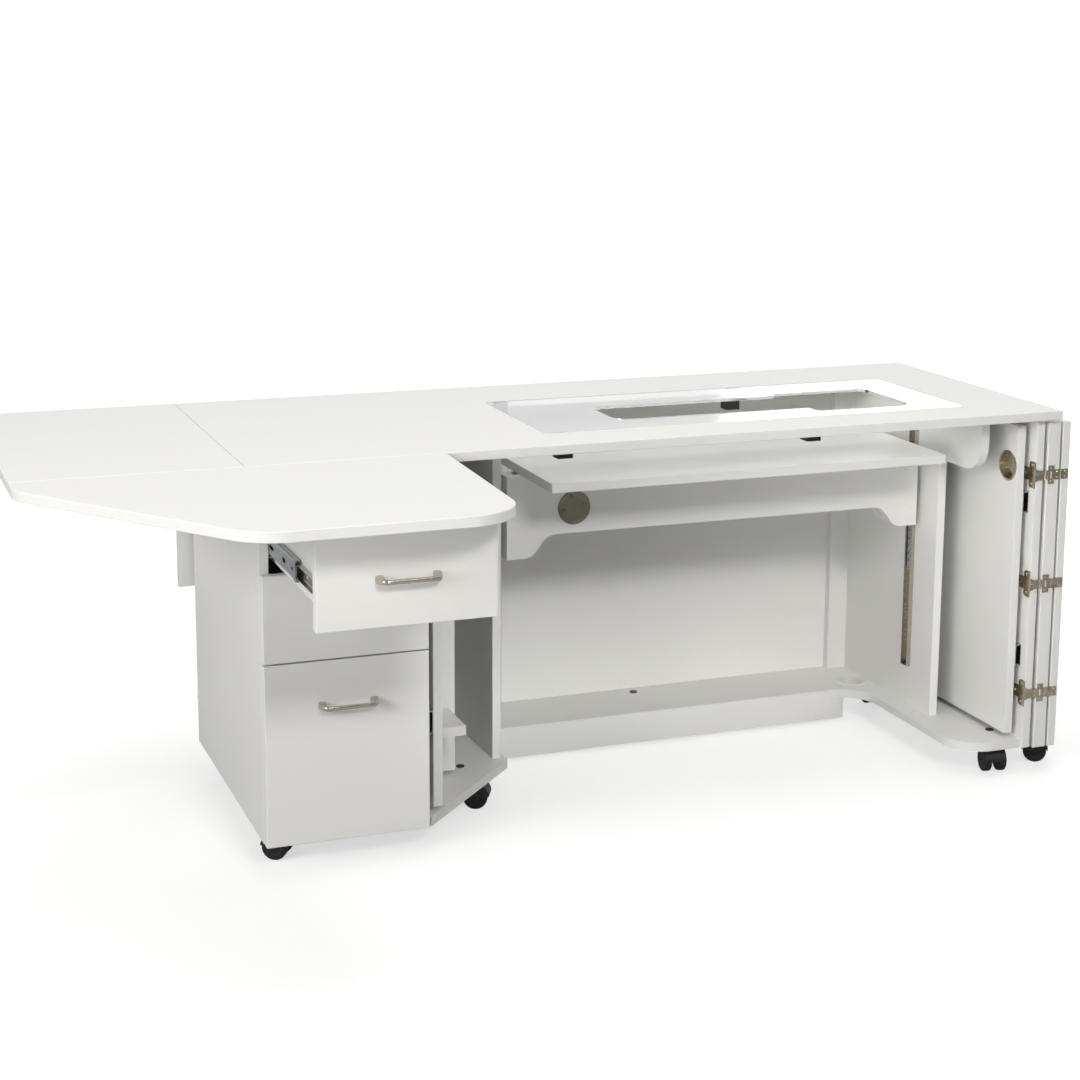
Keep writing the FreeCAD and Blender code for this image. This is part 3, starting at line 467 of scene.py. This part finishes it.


# Stamped nickel: its dark and light tones are painted reflection patches; the third tone is real rubbed wear
# on the edges.
stamped = cloudy_metal(
    "stamped_nickel", cloud_scale=95.0, pebble_scale=600.0, wear_radius=0.0012, wear_amount=0.9,
    tones=((0.20, 0.155, 0.105), (0.84, 0.75, 0.61), (0.92, 0.87, 0.78)),
    gloss=(0.14, 0.34), bump=("Cloud", 0.5, 0.0012),
)
# Dull steel: its dark brown-grey tones are partly the steel's own colour and partly painted shade from the
# platform above the plate.
dull_steel_and_painted_shade = cloudy_metal(
    "dull_steel_and_painted_shade", cloud_scale=55.0, pebble_scale=500.0, wear_radius=0.0010, wear_amount=0.5,
    tones=((0.20, 0.185, 0.145), (0.32, 0.30, 0.245), (0.62, 0.58, 0.50)),
    gloss=(0.40, 0.58), bump=("Pebble", 0.10, 0.0002),
)

# %% [markdown]
# ### Zinc plate
# The ball slides and caster plates are rolled steel with bright zinc. Zinc is bluer than nickel,
# shows soft crystals and faint lines from rolling, and is rubbed brighter along its edges.

# %% Zinc plate
zinc, tree, shader = finish("zinc_plate")
grain = put_group(tree, fine_grain, Cloud_Scale=60.0, Pebble_Scale=700.0)
line = put_group(tree, drawn_lines, Stretch=(500.0, 9.0, 500.0))
wear = put_group(tree, edge_wear, Radius=0.001, Break_Up=70.0, Amount=0.6)
crystal = tone(tree, grain.outputs["Cloud"], (0.40, 0.42, 0.45), (0.62, 0.65, 0.68))
rolled = tone(tree, wear.outputs["Mask"], crystal, (0.78, 0.79, 0.80))
tree.links.new(rolled, shader.inputs["Base Color"])
shader.inputs["Metallic"].default_value = 1.0
tree.links.new(between(tree, line.outputs["Line"], 0.24, 0.46), shader.inputs["Roughness"])
raise_bump(tree, shader, grain.outputs["Pebble"], 0.08, 0.0002)
print("finish", zinc.name)

# %% [markdown]
# ### Black nylon and white plastic
# Casters, clips and stops are moulded black nylon with a fine spark-eroded skin. The floor grommet
# is the same kind of moulding in white. Both take the grain group; the black one also shows dust.

# %% Moulded plastics
nylon, tree, shader = finish("black_nylon")
grain = put_group(tree, fine_grain, Cloud_Scale=30.0, Pebble_Scale=1500.0)
wear = put_group(tree, edge_wear, Radius=0.0014, Break_Up=80.0, Amount=0.5)
film = put_group(tree, dust_film, Scale=40.0, Amount=0.05)
moulded = tone(tree, grain.outputs["Cloud"], (0.005, 0.005, 0.0055), (0.011, 0.011, 0.012))
scuffed = tone(tree, wear.outputs["Mask"], moulded, (0.045, 0.045, 0.047))
dusted = tone(tree, film.outputs["Mask"], scuffed, (0.30, 0.29, 0.27))
tree.links.new(dusted, shader.inputs["Base Color"])
tree.links.new(between(tree, grain.outputs["Cloud"], 0.34, 0.55), shader.inputs["Roughness"])
raise_bump(tree, shader, grain.outputs["Pebble"], 0.2, 0.0003)

white_plastic, tree, shader = finish("white_plastic")
grain = put_group(tree, fine_grain, Cloud_Scale=20.0, Pebble_Scale=1300.0)
wear = put_group(tree, edge_wear, Radius=0.0012, Break_Up=60.0, Amount=0.5)
shell = tone(tree, grain.outputs["Cloud"], (0.74, 0.735, 0.71), (0.80, 0.795, 0.775))
rubbed = tone(tree, wear.outputs["Mask"], shell, (0.86, 0.855, 0.84))
tree.links.new(rubbed, shader.inputs["Base Color"])
tree.links.new(between(tree, grain.outputs["Cloud"], 0.30, 0.45), shader.inputs["Roughness"])
raise_bump(tree, shader, grain.outputs["Pebble"], 0.12, 0.0003)
print("finishes", nylon.name, white_plastic.name)

# %% [markdown]
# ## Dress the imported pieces
# The record gives each node a material slot. The slot picks the finish, and only the material on
# the loaded object changes. Hinges, finger cup and fixed rails then get the plating that they show.

# %% One finish for each slot
finish_of = {
    "white_laminate": laminate,
    "clear_acrylic": acrylic,
    "brushed_nickel": nickel,
    "zinc_steel": zinc,
    "black_plastic": nylon,
    "white_plastic": white_plastic,
}
for row in frame["record"]["subparts"]:
    piece = frame["nodes"][row["node"]]
    piece.data.materials.clear()
    piece.data.materials.append(finish_of[row["material_slot"]])
for node in ("door_hinge_plates", "post_hinge_straps", "door_fittings", "finger_cup"):
    frame["nodes"][node].data.materials[0] = stamped
frame["nodes"]["outer_rails"].data.materials[0] = nickel

# %% [markdown]
# ## The ground
# One wide plane, a little under white, so that the soft shadow under the cabinet can be seen. The
# camera sees it lifted towards white by a faint glow that lights nothing else, so that the ground
# runs into the white studio without a line. The glow is weaker near the middle of the plane, under
# and around the cabinet, which adds a painted shade to the floor there.

# %% Ground plane
ground_mesh = bpy.data.meshes.new("ground")
ground_half = 30.0
shape = bmesh.new()
corners = [shape.verts.new((x, y, 0)) for x, y in ((-1, -1), (1, -1), (1, 1), (-1, 1))]
shape.faces.new(corners)
bmesh.ops.scale(shape, vec=(ground_half, ground_half, 1), verts=shape.verts)
shape.to_mesh(ground_mesh)
shape.free()
ground = bpy.data.objects.new("ground", ground_mesh)
scene.collection.objects.link(ground)
print("ground", ground_half * 2, "m wide")

# %% Ground finish
ground_finish, tree, shader = finish("pale_ground")
grain = put_group(tree, fine_grain, Cloud_Scale=0.6, Pebble_Scale=200.0)
ground_tone = tone(tree, grain.outputs["Cloud"], (0.46, 0.46, 0.46), (0.50, 0.50, 0.50))
tree.links.new(ground_tone, shader.inputs["Base Color"])
shader.inputs["Roughness"].default_value = 0.9
glow = add_node(tree, "ShaderNodeEmission")
seen = add_node(tree, "ShaderNodeLightPath")
lift_to_white = add_node(tree, "ShaderNodeMath", operation="MULTIPLY")
place = add_node(tree, "ShaderNodeTexCoord")
away = add_node(tree, "ShaderNodeVectorMath", operation="LENGTH")
# Painted shade: the camera-only glow rises from 0.60 within 0.8 m of the middle to 0.90 beyond 3.2 m, so the
# floor near the cabinet reads darker.
whiten_with_painted_shade = add_node(tree, "ShaderNodeMapRange")
whiten_with_painted_shade.inputs["From Min"].default_value = 0.8
whiten_with_painted_shade.inputs["From Max"].default_value = 3.2
whiten_with_painted_shade.inputs["To Min"].default_value = 0.60
whiten_with_painted_shade.inputs["To Max"].default_value = 0.90
tree.links.new(place.outputs["Object"], away.inputs[0])
tree.links.new(away.outputs["Value"], whiten_with_painted_shade.inputs["Value"])
tree.links.new(whiten_with_painted_shade.outputs["Result"], lift_to_white.inputs[1])
together = add_node(tree, "ShaderNodeAddShader")
tree.links.new(seen.outputs["Is Camera Ray"], lift_to_white.inputs[0])
tree.links.new(lift_to_white.outputs["Value"], glow.inputs["Strength"])
tree.links.new(shader.outputs["BSDF"], together.inputs[0])
tree.links.new(glow.outputs["Emission"], together.inputs[1])
tree.links.new(together.outputs["Shader"], tree.nodes["Material Output"].inputs["Surface"])
ground_mesh.materials.append(ground_finish)
print("finish", ground_finish.name)

# %% [markdown]
# ## Tools for small hardware
# Small parts are drawn as outlines and given thickness, or as rings that are skinned into a tube.
# A screw is a domed head with a real cross cut into it. Every finished piece rides on the body that
# carries it.

# %% Rings and skins
def ring(shape, centre, u, v, half_u, half_v, power=2.0, count=20):
    """Points of a rounded rectangle; a higher power gives squarer corners."""
    points = []
    for i in range(count):
        turn = math.tau * (i + 0.5) / count
        c, s = math.cos(turn), math.sin(turn)
        a = math.copysign(abs(c) ** (2 / power), c) * half_u * MM
        b = math.copysign(abs(s) ** (2 / power), s) * half_v * MM
        points.append(shape.verts.new(centre + u * a + v * b))
    return points


def wall(shape, rings):
    """Quads between neighbouring rings."""
    for first, second in zip(rings, rings[1:]):
        for i in range(len(first)):
            j = (i + 1) % len(first)
            shape.faces.new((first[i], first[j], second[j], second[i]))


def skin(shape, rings):
    """A wall over rings, with both ends closed."""
    wall(shape, rings)
    shape.faces.new(list(reversed(rings[0])))
    shape.faces.new(rings[-1])


# %% Flat stampings
SHARP_TURN = 1.2


def stamp(shape, outline, holes, place_point, thick_way, bevel):
    """A flat stamping: an outline with holes, given thickness, with its edges broken."""
    before = set(shape.verts)
    edges = []
    for loop in [outline] + holes:
        verts = [shape.verts.new(place_point(u, v)) for u, v in loop]
        edges += [shape.edges.new((verts[i - 1], verts[i])) for i in range(len(verts))]
    made = bmesh.ops.triangle_fill(shape, edges=edges, use_beauty=True, use_dissolve=True)
    faces = [g for g in made["geom"] if isinstance(g, bmesh.types.BMFace)]
    grown = bmesh.ops.extrude_face_region(shape, geom=faces)
    moved = [g for g in grown["geom"] if isinstance(g, bmesh.types.BMVert)]
    bmesh.ops.translate(shape, vec=thick_way, verts=moved)
    new_faces = [f for f in shape.faces if f.verts[0] not in before]
    bmesh.ops.recalc_face_normals(shape, faces=new_faces)
    if bevel:
        new_edges = [e for e in shape.edges if e.verts[0] not in before and len(e.link_faces) == 2]
        sharp = [e for e in new_edges if e.calc_face_angle() > SHARP_TURN]
        bmesh.ops.bevel(shape, geom=sharp, offset=bevel * MM, segments=2, affect="EDGES", profile=0.6)


# %% Screw heads
def screw_head(shape, centre, normal, radius, height):
    """A domed head with a cross recess."""
    normal = normal.normalized()
    u = normal.orthogonal().normalized()
    v = normal.cross(u)
    rings = []
    for share, rise in ((1.0, 0.0), (1.0, 0.35), (0.9, 0.72), (0.72, 1.0)):
        level_at = centre + normal * (height * rise * MM)
        rings.append(ring(shape, level_at, u, v, radius * share, radius * share))
    wall(shape, rings)
    arm, half = radius * 0.5, radius * 0.13
    cross = [(half, half), (arm, half), (arm, -half), (half, -half), (half, -arm), (-half, -arm),
             (-half, -half), (-arm, -half), (-arm, half), (-half, half), (-half, arm), (half, arm)]
    crown, bottom = centre + normal * (height * MM), centre + normal * (height * 0.3 * MM)
    brim = [shape.verts.new(crown + u * (a * MM) + v * (b * MM)) for a, b in cross]
    pit = [shape.verts.new(bottom + u * (a * 0.8 * MM) + v * (b * 0.8 * MM)) for a, b in cross]
    edges = [shape.edges.new((brim[i - 1], brim[i])) for i in range(len(brim))]
    top = rings[-1]
    edges += [shape.edges.get((top[i - 1], top[i])) for i in range(len(top))]
    bmesh.ops.triangle_fill(shape, edges=edges, use_beauty=True)
    for i in range(len(brim)):
        shape.faces.new((brim[i - 1], brim[i], pit[i], pit[i - 1]))
    shape.faces.new(pit)


# %% From a sketch to a piece
def new_piece(name, shape, material, body, sharp_degrees=40.0):
    """Turn a sketch into a piece that rides on a body."""
    bmesh.ops.recalc_face_normals(shape, faces=shape.faces)
    mesh = bpy.data.meshes.new(name)
    shape.to_mesh(mesh)
    shape.free()
    for face in mesh.polygons:
        face.use_smooth = True
    mesh.set_sharp_from_angle(angle=math.radians(sharp_degrees))
    mesh.materials.append(material)
    piece = bpy.data.objects.new(name, mesh)
    scene.collection.objects.link(piece)
    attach(piece, body)
    print("made", name, len(mesh.polygons), "faces on", body)
    return piece


X_WAY, Y_WAY, Z_WAY = Vector((1, 0, 0)), Vector((0, 1, 0)), Vector((0, 0, 1))

# %% [markdown]
# ## Bow handles
# Each drawer has a cast handle: two square feet that taper as they leave the front, and a rounded bar
# between them. A cast part has no straight corners, so it is skinned over rings that turn from the
# feet into the bar, rather than cut from blocks. Each row is a ring: its place along the front and
# out from it, its two half sizes and how square it is.

# %% Handles
handle_path = (
    (-48.0, 0.0, 7.0, 7.0, 5.0), (-48.0, -3.0, 6.9, 6.9, 5.0), (-47.6, -9.0, 6.1, 6.0, 4.5),
    (-46.8, -15.0, 5.3, 5.1, 4.0), (-45.6, -19.5, 4.7, 4.6, 3.4), (-43.4, -23.0, 4.3, 4.4, 3.0),
    (-39.5, -24.5, 3.5, 4.3, 2.8), (-33.0, -24.7, 3.1, 4.2, 2.6), (-16.0, -24.8, 3.0, 4.1, 2.5),
)
handle_turns = (0, 0, 8, 14, 28, 52, 80, 90, 90)


def bow_handle(name, node, body):
    """A handle in the middle of its solid's box, the second half mirroring the first."""
    low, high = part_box(node)
    middle = Vector(((low.x + high.x) / 2, high.y, (low.z + high.z) / 2))
    foot_to_bar = list(zip(handle_path, handle_turns))
    bar_to_foot = [((-x, *rest), 180 - turn) for (x, *rest), turn in reversed(foot_to_bar)]
    shape = bmesh.new()
    rings = []
    for (x, y, half_u, half_v, power), turn in foot_to_bar + bar_to_foot:
        lean = math.radians(turn)
        across = Vector((math.cos(lean), math.sin(lean), 0))
        rings.append(ring(shape, middle + Vector((x * MM, y * MM, 0)), across, Z_WAY, half_u, half_v, power))
    skin(shape, rings)
    piece = new_piece(name, shape, nickel, body)
    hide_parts(node)


for row_name in ("bottom", "middle", "top"):
    bow_handle(row_name + "_bow_handle", row_name + "_drawer_handle", row_name + "_drawer")

# %% [markdown]
# ## The runner of the open drawer
# The top drawer stands open, so its slide shows. A slide runner is rolled from a strip: a flat web
# with slots punched in it, and two lips curled over for the balls. The web is stamped with its slots
# and each lip is a curved section drawn along the rail, so the curl catches light like real rolling.

# %% Sections of a rolled rail
def drawn_section(shape, section, y0, y1, place_point):
    """A closed section drawn straight back from y0 to y1."""
    rings = [[shape.verts.new(place_point(u, y, v)) for u, v in section] for y in (y0, y1)]
    skin(shape, rings)


CURL_RADIUS = 4.0


def curl(height, lip, thick, up):
    """Section of a curled lip, from the web's end round to the lip's edge."""
    outer, inner = [], []
    middle = height / 2 - CURL_RADIUS
    for i in range(7):
        turn = math.radians(90 * i / 6)
        c, s = math.cos(turn), math.sin(turn)
        outer.append((CURL_RADIUS - CURL_RADIUS * c, middle + CURL_RADIUS * s))
        inner.append((CURL_RADIUS - (CURL_RADIUS - thick) * c, middle + (CURL_RADIUS - thick) * s))
    outer += [(lip, height / 2), (lip, height / 2 - thick)]
    return [(u, v * up) for u, v in outer + list(reversed(inner))]


def slot_outline(half_length, half_height):
    """A slot with round ends."""
    points = []
    for centre, start in ((half_length - half_height, -90), (half_height - half_length, 90)):
        for i in range(9):
            turn = math.radians(start + 180 * i / 8)
            points.append((centre + half_height * math.cos(turn), half_height * math.sin(turn)))
    return points


# %% Rolled runners
runner_low, runner_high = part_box("top_drawer_middle_rails")
runner_height, inner_height = 35.0, 25.0
runner_z = (runner_low.z + runner_high.z) / 2
rail_lip, rail_wall = 9.1, 1.2
runner_sides = ((runner_low.x, 1), (runner_high.x, -1))


def rail_frame(edge_x, way):
    """Places points on one rail: u out from its web, y along it, v up from its middle."""
    return lambda u, y, v: Vector((edge_x + way * u * MM, y, runner_z + v * MM))


front, rear = runner_low.y, runner_high.y
half_web = runner_height / 2 - CURL_RADIUS
ends = [(front, -half_web), (rear, -half_web), (rear, half_web), (front, half_web)]
slots = []
for back, half_length, half_height in ((20.0, 6.0, 3.2), (78.0, 11.0, 4.2), (170.0, 16.0, 3.6),
                                       (262.0, 6.0, 3.2), (330.0, 16.0, 3.6), (430.0, 11.0, 4.2)):
    slots.append([(front + (back + a) * MM, b) for a, b in slot_outline(half_length, half_height)])
shape = bmesh.new()
for edge_x, way in runner_sides:
    on_rail = rail_frame(edge_x, way)
    stamp(shape, ends, slots, lambda y, v: on_rail(0, y, v), X_WAY * (way * rail_wall * MM), 0)
    for up in (1, -1):
        drawn_section(shape, curl(runner_height, rail_lip, rail_wall, up), front, rear, on_rail)
runner = new_piece("top_slide_runner", shape, zinc, "top_drawer_rails")
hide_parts("top_drawer_middle_rails")

# %% [markdown]
# ### The drawer's own rail
# The rail on the drawer box is a smaller channel that runs inside the runner, with its back to the
# box. Two pressed ribs stiffen its web, and both are drawn along it with the same section tool.

# %% Inner rails
inner_low, inner_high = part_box("top_drawer_inner_rails")
half_web = inner_height / 2 - CURL_RADIUS
web = [(0, -half_web), (0, half_web), (rail_wall, half_web), (rail_wall, -half_web)]
rib_end = 4.0 * MM
shape = bmesh.new()
for back_x, way in ((inner_low.x + rail_lip * MM, -1), (inner_high.x - rail_lip * MM, 1)):
    on_rail = rail_frame(back_x, way)
    drawn_section(shape, web, inner_low.y, inner_high.y, on_rail)
    for up in (1, -1):
        drawn_section(shape, curl(inner_height, rail_lip, rail_wall, up), inner_low.y, inner_high.y, on_rail)
        rib = [(rail_wall, 4.2 * up), (2.2, 4.8 * up), (2.2, 5.8 * up), (rail_wall, 6.4 * up)]
        drawn_section(shape, rib, inner_low.y + rib_end, inner_high.y - rib_end, on_rail)
inner_rail = new_piece("top_slide_inner", shape, nickel, "top_drawer")
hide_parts("top_drawer_inner_rails")

# %% [markdown]
# ### Retainer and bumper
# At the front end of each runner a bent strip keeps the balls in, and a nylon bumper softens the stop.
# The strip is one section with two curled ends, drawn a short way along the rail. A row of screws
# with crossed heads holds the drawer's own rail to its box.

# %% Retainers, bumpers and rail screws
strip = [(0.1, -15.6), (0.4, -19.0), (5.6, -19.6), (8.6, -17.8), (8.6, -14.0), (1.6, -9.0),
         (1.6, 9.0), (8.6, 14.0), (8.6, 17.8), (5.6, 19.6), (0.4, 19.0), (0.1, 15.6)]
inside = [(u + (0.9 if u < 5 else -0.9), v * 0.955) for u, v in strip]
stop = [(2.8, -8.4), (5.2, -7.4), (5.8, 0), (5.2, 7.4), (2.8, 8.4)]
tip = runner_low.y - 3.0 * MM
strip_length, stop_length = 13.0 * MM, 9.0 * MM
shape = bmesh.new()
bumper = bmesh.new()
for edge_x, way in runner_sides:
    on_rail = rail_frame(edge_x, way)
    for quad in zip(strip, strip[1:], inside[1:], inside):
        drawn_section(shape, quad, tip, tip + strip_length, on_rail)
    drawn_section(bumper, stop, tip, tip + stop_length, on_rail)
new_piece("top_slide_retainers", shape, zinc, "top_drawer_rails")
bmesh.ops.bevel(bumper, geom=bumper.edges[:], offset=0.5 * MM, segments=2, affect="EDGES", profile=0.6)
new_piece("top_slide_bumpers", bumper, nylon, "top_drawer_rails")
web_depth = (rail_lip - rail_wall) * MM
shape = bmesh.new()
for face_x, way in ((inner_low.x + web_depth, -1), (inner_high.x - web_depth, 1)):
    for back in (30.0, 143.0, 239.0, 335.0, 431.0):
        screw_head(shape, Vector((face_x, inner_low.y + back * MM, runner_z)), X_WAY * way, 3.6, 1.6)
new_piece("top_slide_screws", shape, zinc, "top_drawer")

# %% [markdown]
# ## Hinge screws
# Each row of the side door has a plate inside the cabinet, a strap round its edge, a windowed plate on
# the post and a leaf on the door. Their screws are domed heads with a real cross, because a cross is
# what catches the light on a plate this small.

# %% Screws of the door hinges
door_low, door_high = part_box("door")
hinge_rows = (0.174, 0.5125, 0.844)
leaf_face = 16.0
plate_x, strap_x, window_x, knuckle_x, leaf_x = 1600.0, 1604.5, 1636.0, 1649.5, 1669.0
fixed, turning, leaf = bmesh.new(), bmesh.new(), bmesh.new()
for share in hinge_rows:
    row = (door_low.z + (door_high.z - door_low.z) * share) / MM
    for y, z in ((31.0, -19.0), (31.0, 19.0), (52.0, 0.0)):
        screw_head(fixed, at(plate_x, y, row + z), -X_WAY, 3.4, 1.8)
    screw_head(fixed, at(strap_x, leaf_face, row), -Y_WAY, 2.2, 1.0)
    for z in (-13.0, 13.0):
        screw_head(turning, at(window_x, leaf_face, row + z), -Y_WAY, 2.6, 1.3)
    for z in (-5.6, 5.6):
        screw_head(turning, at(knuckle_x, leaf_face, row + z), -Y_WAY, 2.4, 1.2)
        screw_head(leaf, at(leaf_x, leaf_face, row + z), -Y_WAY, 2.4, 1.2)
new_piece("hinge_screws_fixed", fixed, stamped, "cabinet")
new_piece("hinge_screws_post", turning, stamped, "door_post")
new_piece("hinge_screws_door", leaf, stamped, "door")

# %% [markdown]
# ## The round plate on the apron
# The drive of the lift sits behind a pressed steel plate. Pressing leaves a rolled rim and a shallow
# dish, so the plate is turned from a profile, as on a lathe, and four domed screws hold it.

# %% Pressed plate and its screws
def turned(shape, centre, axis, profile, count=48):
    """Turn a profile of (radius, height) pairs about an axis, closed at both ends."""
    axis = axis.normalized()
    u = axis.orthogonal().normalized()
    v = axis.cross(u)
    skin(shape, [ring(shape, centre + axis * (rise * MM), u, v, radius, radius, 2.0, count)
                 for radius, rise in profile])


disc_low, disc_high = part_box("lift_round_plate")
disc_middle = Vector(((disc_low.x + disc_high.x) / 2, disc_high.y, (disc_low.z + disc_high.z) / 2))
disc_radius = (disc_high.x - disc_low.x) / 2 / MM
disc_thick = (disc_high.y - disc_low.y) / MM
shape = bmesh.new()
turned(shape, disc_middle, -Y_WAY, (
    (disc_radius, 0.0), (disc_radius, disc_thick * 0.35), (disc_radius - 0.8, disc_thick * 0.62),
    (disc_radius - 2.4, disc_thick * 0.66), (disc_radius - 3.6, disc_thick * 0.46),
    (disc_radius * 0.6, disc_thick * 0.40), (disc_radius * 0.3, disc_thick * 0.44), (0.6, disc_thick * 0.45),
))
pressed = new_piece("lift_pressed_plate", shape, dull_steel_and_painted_shade, "lift")
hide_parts("lift_round_plate")
screw_circle = disc_radius * 0.66 * MM
seat = disc_middle + Vector((0, -disc_thick * 0.42 * MM, 0))
shape = bmesh.new()
for i in range(4):
    turn = math.tau * i / 4 - math.radians(15)
    spot = Vector((math.sin(turn), 0, math.cos(turn))) * screw_circle
    screw_head(shape, seat + spot, -Y_WAY, 4.2, disc_thick * 0.55)
new_piece("lift_plate_screws", shape, dull_steel_and_painted_shade, "lift")

# %% [markdown]
# ## Caps and hubs
# White caps cover the screws along the rear of the left side. Each caster wheel has a dished hub with
# a raised rim. The hubs sit on the wheel's own axle line, which the record gives for every wheel.

# %% Screw caps on the left side
side_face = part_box("pedestal_left_side")[0].x
cap_profile = ((5.6, 0), (5.6, 0.5), (5.0, 1.0), (3.4, 1.3), (0.5, 1.4))
cap_back = 626.0
shape = bmesh.new()
for cap_height in (153.0, 415.0, 655.0):
    spot = at(0, cap_back, cap_height)
    turned(shape, Vector((side_face, spot.y, spot.z)), -X_WAY, cap_profile, count=28)
new_piece("left_side_caps", shape, white_plastic, "cabinet")

# %% Wheel hubs
hub_reach = 22.6
hub_profile = (
    (17.0, 0.0), (17.0, 0.9), (15.6, 1.3), (14.0, 0.9), (11.0, 0.75),
    (6.4, 0.85), (5.6, 1.5), (3.6, 1.6), (0.5, 1.6),
)
for joint in frame["record"]["behaviour"]["joints"]:
    if "roll" not in joint["name"]:
        continue
    shape = bmesh.new()
    axle = Vector(joint["axis"]).normalized()
    centre = Vector(joint["pos_m"])
    for way in (-1, 1):
        turned(shape, centre + axle * (way * hub_reach * MM), axle * way, hub_profile, count=36)
    new_piece("hubs_" + joint["child"], shape, nylon, joint["child"])

# %% [markdown]
# ## Ball cages and stops of the lift slides
# The lift runs on a ball slide on each partition. Between its two channels a pressed strip holds the
# balls, and a nylon stop closes the lower end. The strip is made of square cells with a round hole in
# each, given thickness afterwards, with the balls set in the holes.

# %% Perforated strip with balls
def ball_cage(shape, origin, along, across, out, rows, columns, pitch, hole):
    """Square cells with a round hole in each, and a ball in every other hole."""
    cells = []
    for i in range(rows):
        for j in range(columns):
            cell = origin + along * ((i + 0.5) * pitch * MM) + across * ((j + 0.5) * pitch * MM)
            cells.append((i + j, cell))
    for _, cell in cells:
        inner, outer = [], []
        for k in range(16):
            turn = math.tau * (k + 0.5) / 16
            c, s = math.cos(turn), math.sin(turn)
            reach = pitch / 2 / max(abs(c), abs(s))
            inner.append(shape.verts.new(cell + along * (c * hole * MM) + across * (s * hole * MM)))
            outer.append(shape.verts.new(cell + along * (c * reach * MM) + across * (s * reach * MM)))
        for k in range(16):
            n = (k + 1) % 16
            shape.faces.new((outer[k], outer[n], inner[n], inner[k]))
    bmesh.ops.remove_doubles(shape, verts=shape.verts, dist=0.02 * MM)
    bmesh.ops.recalc_face_normals(shape, faces=shape.faces)
    bmesh.ops.solidify(shape, geom=shape.faces, thickness=0.7 * MM)
    for count, cell in cells:
        if count % 2 == 0:
            ball = Matrix.Translation(cell + out * (0.2 * MM))
            bmesh.ops.create_icosphere(shape, subdivisions=2, radius=hole * 0.86 * MM, matrix=ball)


left_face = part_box("left_partition")[1].x
right_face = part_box("right_partition")[0].x
lift_sides = (("left", left_face, 1), ("right", right_face, -1))
lift_low, lift_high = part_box("lift_inner_rails")
slide_y = (lift_low.y + lift_high.y) / 2
cage_low, cage_pitch = 372.0, 8.0
for side_name, face, way in lift_sides:
    shape = bmesh.new()
    start_at = Vector((face + way * 4.2 * MM, slide_y - cage_pitch * MM, cage_low * MM))
    ball_cage(shape, start_at, Z_WAY, Y_WAY, X_WAY * way, rows=24, columns=2, pitch=cage_pitch, hole=2.6)
    new_piece("lift_ball_cage_" + side_name, shape, zinc, "cabinet")

# %% Nylon stops at the foot of the lift slides
stop_low, stop_thick = 160.5, 7.2
notch = [(-10.4, 0), (10.4, 0), (10.4, 7), (5, 7), (5, 3), (-5, 3), (-5, 7), (-10.4, 7)]
for side_name, face, way in lift_sides:
    shape = bmesh.new()
    base = Vector((face + way * 1.4 * MM, slide_y, stop_low * MM))
    thick_way = X_WAY * (way * stop_thick * MM)
    stamp(shape, notch, [], lambda u, v: base + Y_WAY * (u * MM) + Z_WAY * (v * MM), thick_way, 0.8)
    new_piece("lift_slide_stop_" + side_name, shape, nylon, "cabinet")
